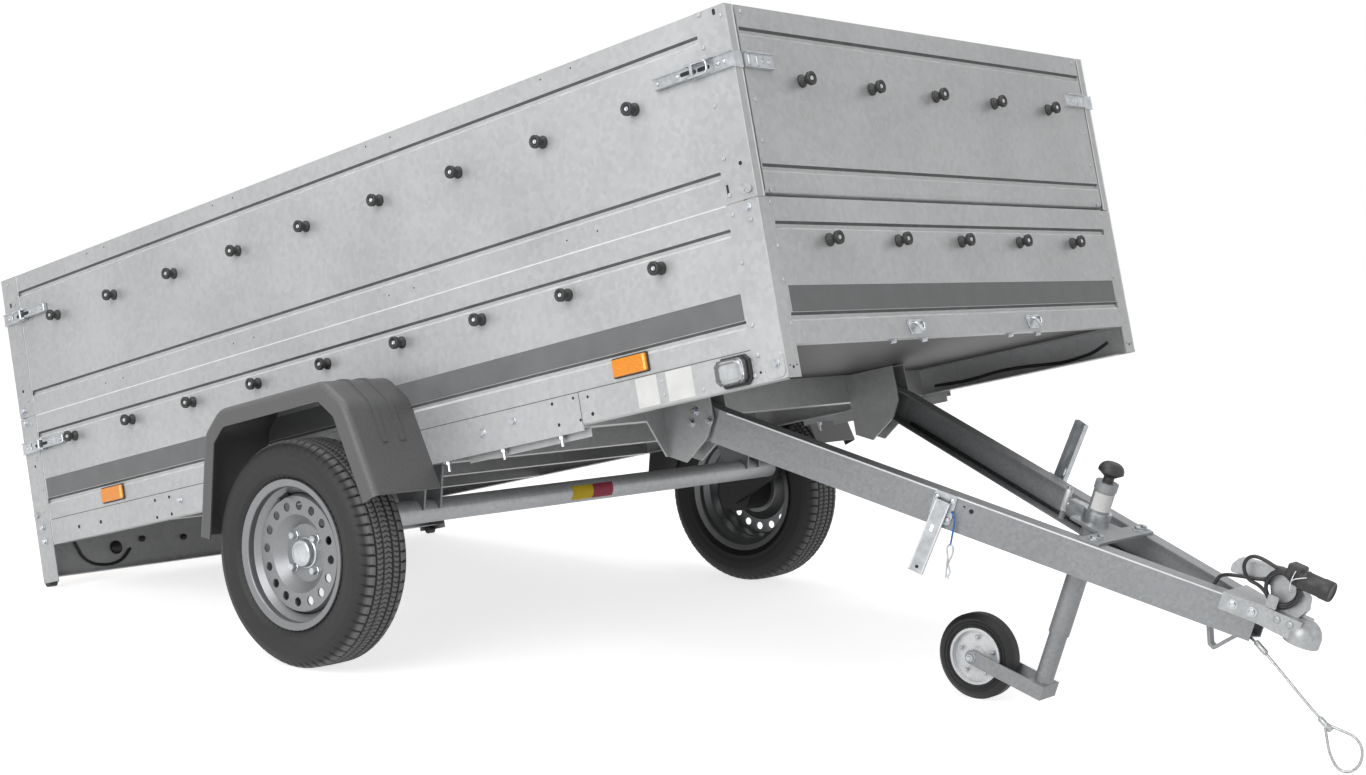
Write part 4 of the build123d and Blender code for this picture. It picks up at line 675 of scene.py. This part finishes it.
# Side reflectors
# Moulded orange acrylic with a prism pattern behind a smooth face, stuck to the lower boards in a thin black tray.
# Prisms about 3 mm across sparkle light and dark under the clear face.
reflector_acrylic = grained("orange_prism_acrylic", 3.0, "#DB7F00", "#EC9206", 0.22, relief=0.3)
reflector_acrylic.node_tree.nodes["Principled BSDF"].inputs["Coat Weight"].default_value = 0.3
pale_acrylic = grained("pale_yellow_acrylic", 3.0, "#F3C24A", "#FAD984", 0.18, relief=0.3)
reflectors = [(-side * x, side) for side in (-1, 1) for x in (392, 2314)]
reflector_z = 101
lens = skin("reflector_lenses", [
    plate(rounded(98, 38, 4, (u, reflector_z)), 8.0, *board_faces[side], edge=1.6) for u, side in reflectors
], reflector_acrylic, "bed", smooth=False)
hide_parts("side_reflectors")
skin("reflector_ends", [
    plate(rounded(9, 36, 1.5, (u - side * 43, reflector_z)), 8.3, *board_faces[side], edge=1.6)
    for u, side in reflectors
], pale_acrylic, "bed", smooth=False)
skin("reflector_trays", [
    plate(rounded(104, 44, 5, (u, reflector_z)), 3.4, *board_faces[side], edge=0.8) for u, side in reflectors
], black_plastic, "bed", smooth=False)

# Front marker lamps
# A black moulded base with cut corners, a clear acrylic lens over it, and a bright reflector behind the lens.
# Moulded acrylic: clear, with sharp reflections a little duller in patches 20 mm across.
clear_acrylic = grained("clear_moulded_acrylic", 20.0, "#F4F4F4", "#FAFAFA", 0.12)
clear_acrylic.node_tree.nodes["Principled BSDF"].inputs["Transmission Weight"].default_value = 0.85
clear_acrylic.node_tree.nodes["Principled BSDF"].inputs["IOR"].default_value = 1.49


def cut_corners(width, height, cut, middle):
    """Outline of a rectangle with its corners cut at 45 degrees, anticlockwise."""
    wide, high = width / 2, height / 2
    return np.array([
        (wide, cut - high), (wide, high - cut), (wide - cut, high), (cut - wide, high), (-wide, high - cut),
        (-wide, cut - high), (cut - wide, -high), (wide - cut, -high),
    ]) + middle


markers = [(side, (-side * 2594, 35)) for side in (-1, 1)]
lamp_base = skin("marker_bases", [
    grid for side, middle in markers for grid in (
        plate(cut_corners(84, 64, 12, middle), 8.0, *side_face(side), edge=1.5),
        plate(cut_corners(74, 54, 10, middle), 14.0, *side_face(side), edge=1.0))
], black_plastic, "bed", smooth=False)
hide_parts("marker_lamps")
skin("marker_lenses", [
    plate(cut_corners(72, 52, 10, middle), 22.0, *side_face(side, 769.0), edge=8.0) for side, middle in markers
], clear_acrylic, "bed", smooth=False)
skin("marker_reflectors", [
    plate(cut_corners(54, 34, 6, middle), 6.0, *side_face(side, 768.8), edge=3.0) for side, middle in markers
], zinc_plated, "bed", smooth=False)

# Tail lamps
# Black moulded housings on the rear bar with amber, red and clear acrylic lenses, held by two screws each.
# Acrylic moulded over prisms 4 mm across: a deep clear red.
red_acrylic = grained("red_prism_acrylic", 4.0, "#8E0D10", "#B3161A", 0.2, relief=0.3)
tail_home = end_face(-1, 2.0)
tail_y, tail_z = 560, -9
tail_bases = skin("tail_lamp_housings", [
    plate(rounded(215, 95, 12, (-side * tail_y, tail_z)), 20.0, *tail_home, edge=2.0) for side in (-1, 1)
], black_plastic, "bed", smooth=False)
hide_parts("tail_lamps")
for lens_name, lens_finish, offset, wide in (
    ("amber", reflector_acrylic, 68, 64), ("red", red_acrylic, 0, 66), ("clear", pale_acrylic, -68, 64),
):
    skin(f"tail_{lens_name}_lenses", [
        plate(rounded(wide, 82, 8, (-side * (tail_y + offset), tail_z)), 40.0, *tail_home, edge=5.0) for side in (-1, 1)
    ], lens_finish, "bed")
skin("tail_lamp_screws", turned([(4, 0), (4, 2), (3, 2.8), (1, 2.4)], on_bed([
    (-37.8, side * (tail_y + out), tail_z) for side in (-1, 1) for out in (-34, 34)]), -bed_axes[0], 12),
    zinc_plated, "bed")

# Rear rollers
# Moulded black plastic rollers at the rear posts' feet, on which the bed tips and is pushed about.
dress(black_plastic, "rear_rollers")

# Blank stickers
# White paper and film labels, left blank, on the right rail's front lap and on the left rail.
# Printed film: a matt off-white that yellows a little in patches.
label_film = grained("matt_white_label_film", 40.0, "#CECECD", "#DADAD9", 0.55)
skin("rail_labels", [
    *[strip(side_face(-1), wide, 64, (x, 37), 1.5, 0.25) for x, wide in ((2349, 60), (2441, 72))],
    strip(side_face(1), 46, 30, (-2350, 40), 1.5, 0.25),
], label_film, "bed", smooth=False)

# Studs and strips under the side rails
# Threaded zinc-plated studs with nuts hang below the rails, beside the strips of galvanised sheet that they clamp.
stud_profile = [(4, -30), (4, -13), (8, -13), (8, -6), (11, -6), (11, -2)]
stud_places = on_bed([(x, side * 741, -8.0) for side in (-1, 1) for x in (1700, 1884, 2068)])
skin("rail_studs", turned(stud_profile, stud_places, bed_axes[2], 6), zinc_plated, "bed", smooth=False)
skin("floor_strips", [
    plate(rounded(390, 22, 2, (-side * 1955, -18)), 2.5, *side_face(side, 729), edge=0.5) for side in (-1, 1)
], galvanised, "bed", smooth=False)

# Rear wiring
# Black rubber cable held in the left rail and looped on the lamp bar's front, with a domed grommet and plastic nuts.
dress(cable_rubber, "bed_wiring", "drawbar_wiring")
grommet_profile = [(20, 0), (20, 3), (17, 8), (11, 12), (5, 13.5), (1, 13.8)]
skin("bar_grommet", turned(grommet_profile, on_bed([4.6, -504, -26]), bed_axes[0]), black_plastic, "bed")
nut_places = on_bed([(4.6, y, z) for y, z in ((-412, -10), (-263, -20), (263, -20), (412, -10))])
skin("bar_nuts", turned([(9, 0), (9, 8), (5, 8), (5, 15), (4, 16)], nut_places, bed_axes[0], 12), black_plastic, "bed")

# Load floor
# Film-faced plywood laid on the cross members, with a dark film that shows the veneer's grain below.
# Pressed phenolic film: dark brown-grey, grain drawn 30 mm broad so that it shows.
plywood_film = grained("film_faced_plywood", 30.0, "#201E1D", "#2B2826", 0.5, relief=0.4)
dress(plywood_film, "load_floor")

# Axle, saddles and trailing arms
# A hot-dip galvanised tube with pressed saddles under the rails and welded arms that carry the hubs.
# The dip leaves small crystals under a dull grey skin; the axle tube's copy is painted paler, a painted light that
# lifts it out of the bed's shade.
cast_zinc = coated("hot_dipped_tube_zinc", 7.0, "#838587", "#9A9C9E", 0.48)
dress(coated("hot_dipped_axle_zinc_painted_lit", 9.0, "#BCBEC0", "#D2D4D6", 0.5), "axle_tube")
dress(cast_zinc, "axle_saddles")
# Dipped black paint on cast iron: a deep dull black that pools and thins.
black_iron = grained("black_painted_iron", 8.0, "#151516", "#222223", 0.5, relief=0.3)
dress(black_iron, "trailing_arm_right", "trailing_arm_left", "hub_right", "hub_left")


def wrap(low_y, high_y):
    """A label round the axle tube, from high_y to low_y: an arc just outside it and the same arc back just inside."""
    bend = np.radians(np.linspace(-52.0, 26.0, 20))
    bend = np.concatenate([bend, bend[::-1]])
    reach = np.repeat([29.35, 28.9], 20)
    arc = np.stack([1480 + reach * np.cos(bend), 0 * bend, -110 + reach * np.sin(bend)], axis=1)
    return on_bed(arc + np.array([(0, high_y, 0), (0, low_y, 0)])[:, None])


# Two blank labels of matt dyed paper, one yellow and one red, wrap the front of the tube.
skin("axle_yellow_label", [wrap(-132, -51)], grained("yellow_label_paper", 30.0, "#E0BE10", "#EACB22", 0.6), "bed",
     smooth=False)
skin("axle_red_label", [wrap(-50.5, 28)], grained("red_label_paper", 30.0, "#9C2A44", "#A9354F", 0.6), "bed",
     smooth=False)

# Mudguards
# Blow-moulded grey-black polyethylene arches bolted to the side boards, with a fine moulded grain.
# The mould's grain, drawn at 3 mm so that it shows, gives a soft satin grey where the light grazes it.
guard_plastic = grained("grained_moulded_polyethylene", 3.0, "#4E4E4F", "#5E5E5F", 0.5, relief=0.25)
dress(guard_plastic, "mudguard_right", "mudguard_left")

# Road tyres
# Moulded black rubber: four grooves run round the tread, cuts cross its ribs, and cross grooves open its shoulders.
# The mould leaves the walls a deep satin black; the tread's ribs are painted paler, part road dust and part painted
# light.
tyre_rubber = grained("moulded_tyre_rubber", 14.0, "#131314", "#1D1D1E", 0.6, relief=0.2)
tread_rubber_dust_and_light = grained("tyre_rubber_with_dust_and_painted_light", 14.0, "#131314", "#1D1D1E", 0.62, relief=0.2)
tree = tread_rubber_dust_and_light.node_tree
shader = tree.nodes["Principled BSDF"]
# The tread's top is mixed towards a pale grey, part road dust and part painted light; the grooves stay dark as painted
# shade.
dust_and_painted_light = node(tree, "ShaderNodeAttribute", {"attribute_name": "dust_and_painted_light"}, {})
dust_and_light_mix = node(tree, "ShaderNodeMix", {"data_type": "RGBA", 7: tone("#6A6A6B")},
            {0: (dust_and_painted_light, "Fac"), 6: (shader.inputs["Base Color"].links[0].from_node, "Color")})
tree.links.new(dust_and_light_mix.outputs[2], shader.inputs["Base Color"])
tread_w = np.arange(-54.0, 54.1, 1.5)
tread_r = 273.4 - 1.2 * (tread_w / 50.0) ** 2 - 0.035 * np.maximum(0.0, np.abs(tread_w) - 44.0) ** 2
wall = np.array([
    (263, 62), (256, 69.5), (247, 74.3), (240, 76.0), (238, 77.0), (235, 77.0), (233, 76.6), (222, 77.2), (210, 75.5),
    (200, 72), (198, 72.6), (195, 71.2), (191, 67), (184, 61.5), (181, 58), (168, 57.5),
])
tyre_r = np.concatenate([wall[::-1, 0], tread_r, wall[:, 0]])[:, None]
tyre_w = np.concatenate([-wall[::-1, 1], tread_w, wall[:, 1]])[:, None]
tyre_turn = np.linspace(0.0, 1.0, 840, endpoint=False)[None, :]


def tread_cut(w, share):
    """Depth of the tread's pattern in mm over its width w and its share of a turn.

    It is the deepest of: four round grooves (a ramp by the distance from each), shoulder grooves (70 a turn,
    slanted) and zigzag cuts over the ribs (140 a turn).
    """
    round_cut = 6.5 * np.clip((3.8 - np.min(np.abs(w[..., None] - [-36, -13, 13, 36]), axis=-1)) / 1.2, 0, 1)
    across_mm = np.abs((share * 70 + 0.25 * np.abs(w) / 50) % 1 - 0.5) * 24.5
    shoulder_cut = 5.0 * np.clip((3.0 - across_mm) / 1.0, 0, 1) * np.clip((np.abs(w) - 39.5) / 1.5, 0, 1)
    zigzag = np.abs((w / 9.0) % 2 - 1) * 0.35
    rib_mm = np.abs((share * 140 + zigzag) % 1 - 0.5) * 12.3
    rib_cut = 3.0 * np.clip((2.0 - rib_mm) / 1.0, 0, 1) * (np.abs(w) < 33)
    return np.maximum(np.maximum(round_cut + 0 * share, shoulder_cut), rib_cut) * (np.abs(w) < 66)


tread_depth = tread_cut(tyre_w, tyre_turn)
tyre_radii = tyre_r - tread_depth
# Its mask: 1 on the tread's top, falling to 0 in cuts 1.5 mm deep and towards the shoulders, so the grooves keep
# painted shade.
tread_dust_and_light = np.clip(1.0 - tread_depth / 1.5, 0, 1) * np.clip((60.0 - np.abs(tyre_w)) / 8.0, 0, 1)
wheel_homes = ((-1, "right", on_bed([1322, -871, -165])), (1, "left", on_bed([1322, 871, -165])))
for side, name, wheel_home in wheel_homes:
    spin = 2.0 * np.pi * tyre_turn
    grid = wheel_home + np.stack([
        tyre_radii * np.sin(spin), tyre_w + 0 * spin, tyre_radii * np.cos(spin),
    ], axis=-1) / 1000.0
    tyre = skin(f"road_tyre_{name}", [grid], tread_rubber_dust_and_light, f"wheel_{name}", joined=True)
    dust_and_light_values = tyre.data.attributes.new("dust_and_painted_light", "FLOAT", "POINT").data
    dust_and_light_values.foreach_set("value", tread_dust_and_light.astype(np.float32).ravel())
    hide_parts(f"tyre_{name}")

# Wheel rims, bolts, caps and valves
# Pressed steel discs welded into rolled rims and sprayed silver; four plated bolts and a pressed cap at the middle.
# Sprayed paint with metal flake, drawn at 2 mm: an even silver grey.
wheel_silver = grained("sprayed_silver_wheel_paint", 2.0, "#7C7D7F", "#8C8D8F", 0.4, metal=0.6)
dress(wheel_silver, "rim_right", "rim_left")
wheel_bolt_profile = [(13, 0), (12, 3), (10, 4), (10, 14), (8.6, 16.5), (3, 16.8)]
cap_profile = [(38, 15), (38, 17), (36.5, 18.4), (34, 18), (33.4, 20), (33.2, 31), (31.5, 34.5), (27, 36.4), (26, 36),
               (24, 37), (14, 38.4), (2, 38.8)]
valve_profile = [(6, 0), (6, 8), (4.4, 12), (4.2, 22), (4.8, 22.5), (4.8, 33), (4, 34.5), (1.5, 34.8)]
bolt_turn = np.radians([45, 135, 225, 315])
bolt_ring = 0.054 * np.stack([np.sin(bolt_turn), 0 * bolt_turn, np.cos(bolt_turn)], axis=1)
for side, name, wheel_home in wheel_homes:
    out = np.array([0.0, float(side), 0.0])
    skin(f"wheel_bolts_{name}", turned(wheel_bolt_profile, wheel_home + 0.016 * out + bolt_ring, out, 6),
         zinc_plated, f"wheel_{name}", smooth=False)
    skin(f"hub_cap_{name}", turned(cap_profile, wheel_home, out, 48), zinc_plated, f"wheel_{name}")
    valve_home = wheel_home + [-0.048, 0.034 * side, 0.138]
    skin(f"tyre_valve_{name}", turned(valve_profile, valve_home, 0.93 * out + [0.1, 0, -0.36], 16),
         black_plastic, f"wheel_{name}")

# Drawbar beams, bridge and hinges
# Folded and hot-dip galvanised channels that run together to the front.
# A bridge plate bolted across them holds the jockey wheel, and three bolts a side hold the hinges to the bed.
dress(cast_zinc, "drawbar_beam_right", "drawbar_beam_left", "bridge_plate", "cable_rest")
beam_lean = np.radians(17.257)


def beam_face(side, x):
    """Home, right and up of a beam's outer face at x mm ahead of the hinge: right runs forward on the right beam."""
    normal = np.sin(beam_lean) * bar_axes[0] + side * np.cos(beam_lean) * bar_axes[1]
    return on_bar([x, side * (404 - 0.3106312 * (x - 60)), 0]), np.cross(bar_axes[2], normal), bar_axes[2]


# Painted highlight: a bright strip along each beam's upper fold.
skin("beam_fold_highlights", [strip(beam_face(side, 640), 1180, 3.4, (0, 37.6), 0.8) for side in (-1, 1)],
     painted_highlight_zinc, "drawbar", smooth=False)
skin("beam_holes", [
    hole(beam_face(side, x), wide, wide, (0, z)) for side in (-1, 1) for x, z, wide in ((654, 18, 11), (637, 23, 5))
], hole_shade, "drawbar", smooth=False)
hinge_marks = [(2191, 2), (2175, -22), (2227, -27)]
skin("hinge_bolts", side_bolts(hinge_marks, 414.0), zinc_plated, "bed", smooth=False)
bridge_places = on_bar([(901, y, 46) for y in (-118, -86, 86, 118)])
skin("bridge_bolts", bolts(bridge_places, bar_axes[2]), zinc_plated, "drawbar", smooth=False)

# Drawbar latches
# Plated plates bolted to the beams, with folded handles that hook onto the catches of the front board.
# Plating worn by the hand: greyer and duller than the bolts' zinc.
dress(grained("dull_zinc_plate", 18.0, "#9EA1A4", "#B6B9BC", 0.36, metal=0.8), "drawbar_latches")
latch_bolts, handle_hem_highlights, handle_eyes = [], [], []
latch_x, plate_top, handle_top = 594, 4.0, 18.3
handles = ((-1, -8, -153, 24), (1, 16, 20, 184))
for side, middle, foot, head in handles:
    home, right, up = beam_face(side, latch_x)
    normal = np.cross(right, up)
    marks = np.array([(-18, 26), (18, 26), (18, -18), (-18, -18)])
    places = home + (marks[:, :1] * right + marks[:, 1:] * up + plate_top * normal) / 1000.0
    latch_bolts += turned([(7, 0), (7, 2), (6, 3.4), (2.4, 4.2)], places, normal, 16)
    lean = side * np.radians(5.0)
    turn = np.array([(np.cos(lean), np.sin(lean)), (-np.sin(lean), np.cos(lean))])
    centre, top = (-side * middle, (foot + head) / 2), home + handle_top / 1000.0 * normal
    # Painted highlights: a bright strip along each hem of the handle.
    handle_hem_highlights += [
        plate(rounded(3.0, head - foot - 4, 1.2, (edge, 0)) @ turn + centre, 0.4, top, right, up, edge=0.1)
        for edge in (-15, 15)
    ]
    eye = rounded(8, 8, 3.9, (0, (foot - head) / 2 + 14)) @ turn + centre
    handle_eyes.append(plate(eye, 0.4, top, right, up, edge=0.1))
skin("latch_plate_bolts", latch_bolts, zinc_plated, "drawbar")
skin("latch_handle_hem_highlights", handle_hem_highlights, painted_highlight_zinc, "drawbar", smooth=False)
skin("latch_handle_eyes", handle_eyes, hole_shade, "drawbar", smooth=False)

# Latch catches on the front board
# Pressed plates with slanted lower corners, each with a bent V hook and a rivet at each side.
catch_outline = np.array([(-20, -17), (20, -17), (33, 11), (24, 17), (-24, 17), (-33, 11)])
catch_sides, catch_z = (-258, 258), 92
catches = skin("catch_plates", [
    plate(catch_outline + (y, catch_z), 4.0, *front_face, edge=1.2) for y in catch_sides
], zinc_plated, "bed", smooth=False)
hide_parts("latch_catches")
hook_bends = ((-15, 3, 8), (-13, 16, 6), (-8, 20, -4), (0, 21, -13), (8, 20, -4), (13, 16, 6), (15, 3, 8))
catch_rivets = on_bed([(2723.8, y + over, 98) for y in catch_sides for over in (-23, 23)])
skin("catch_hooks", [
    tube(smoothed(on_bed([(bed_front + out, y + over, catch_z + rise) for over, out, rise in hook_bends])), 3.6)
    for y in catch_sides
] + turned(rivet_dome, catch_rivets, bed_axes[0], 12), zinc_plated, "bed")
foot_places = on_bed([(2704, y, 67.5) for y in (-330, -205, 170, 300)])
skin("front_foot_bolts", bolts(foot_places, -bed_axes[2]), zinc_plated, "bed", smooth=False)

# Jockey wheel
# Plated steel tubes that slide in one another in a clamp, a pressed fork, a plated rim and a solid black rubber tyre.
# Bright plating on rolled steel: pale, with crystals too small to stand out.
tube_zinc = coated("plated_tube_zinc", 5.0, "#BFC1C3", "#D6D7D8", 0.36)
dress(tube_zinc, "jockey_rim")
dress(zinc_plated, "jockey_clamp")
dress(cast_zinc, "jockey_tube", "jockey_slider", "jockey_fork")
dress(tyre_rubber, "jockey_tyre")
dress(black_plastic, "crank_dome")
jockey_hub = on_bar([666.0, 0.0, -361.49])
ring_turn = np.linspace(0, 2 * np.pi, 73)
skin("jockey_tyre_rings", [
    tube(jockey_hub + np.stack([
        radius * np.sin(ring_turn), side * 24.8 + 0 * ring_turn, radius * np.cos(ring_turn),
    ], axis=1) / 1000.0, 1.5, 8) for side in (-1, 1) for radius in (72, 80)
], tyre_rubber, "jockey_wheel")
rim_turn = np.radians(np.arange(5) * 72.0)
rim_places = np.stack([0.044 * np.sin(rim_turn), 0 * rim_turn, 0.044 * np.cos(rim_turn)], axis=1)
rim_bolt_profile = [(5, 0), (5, 4), (4, 5), (1.5, 5.2)]
axle_nut_profile = [(12, 0), (12, 1.8), (10, 2), (10, 9), (9, 10), (5, 10), (5, 13), (4, 14)]
skin("jockey_rim_bolts", [
    grid for side in (-1, 1)
    for grid in turned(rim_bolt_profile, jockey_hub + rim_places + [0, side * 0.012, 0], (0, side, 0), 6)
], zinc_plated, "jockey_wheel", smooth=False)
skin("jockey_nuts", [
    grid for side in (-1, 1) for grid in turned(axle_nut_profile, jockey_hub + [0, side * 0.036, 0], (0, side, 0), 6)
], zinc_plated, "jockey_swivel_fork", smooth=False)
# A blank film label wraps the tube: an arc outside it and the same arc back inside, at two levels.
label_turn = np.radians(np.linspace(-115.0, 15.0, 24))
label_turn = np.concatenate([label_turn, label_turn[::-1]])
label_reach = np.repeat([24.3, 23.9], 24)
label_grid = np.stack([np.stack([
    838 + label_reach * np.cos(label_turn), label_reach * np.sin(label_turn), np.full(48, level),
], axis=1) for level in (80.0, 120.0)])
skin("jockey_tube_label", [on_bar(label_grid)], label_film, "drawbar", smooth=False)
sleeve_profile = [(6.6, -27), (7.8, -26), (8.2, -23), (8.2, 22), (7.6, 24), (6.6, 24.5)]
skin("clamp_handle_sleeve", turned(sleeve_profile, on_bar([757, 0, 69]), bar_axes[2]), tube_zinc, "drawbar")

# Coupling
# A pressed and plated steel shell over the ball, closed by a hand lever and bolted through the beams' front ends.
# Dipped after pressing: a mid grey with small crystals, smooth over the press's round edges.
coupling_zinc = coated("pressed_coupling_zinc", 6.0, "#9C9EA0", "#B9BBBC", 0.42)
dress(coupling_zinc, "coupling", "coupling_lever")
shell_lean = np.arctan2(24.9, 84.0)
shell_bolts, shell_rivets = [], []
for side in (-1, 1):
    slanted = np.sin(shell_lean) * bar_axes[0] + side * np.cos(shell_lean) * bar_axes[1]
    places = on_bar([(x, side * (57.9 - 0.29643 * (x - 1188)), z) for x, z in ((1213, 25), (1253, 24))])
    shell_bolts += bolts(places, slanted)
    rivet_places = on_bar([(1306, side * 33, 30), (1335, side * 33, 31)])
    shell_rivets += turned([(8, 0), (8, 1.4), (7, 2.4), (2, 2.6)], rivet_places, (0, side, 0), 20)
skin("coupling_bolts", shell_bolts, zinc_plated, "drawbar", smooth=False)
skin("coupling_rivets", shell_rivets, coupling_zinc, "drawbar")
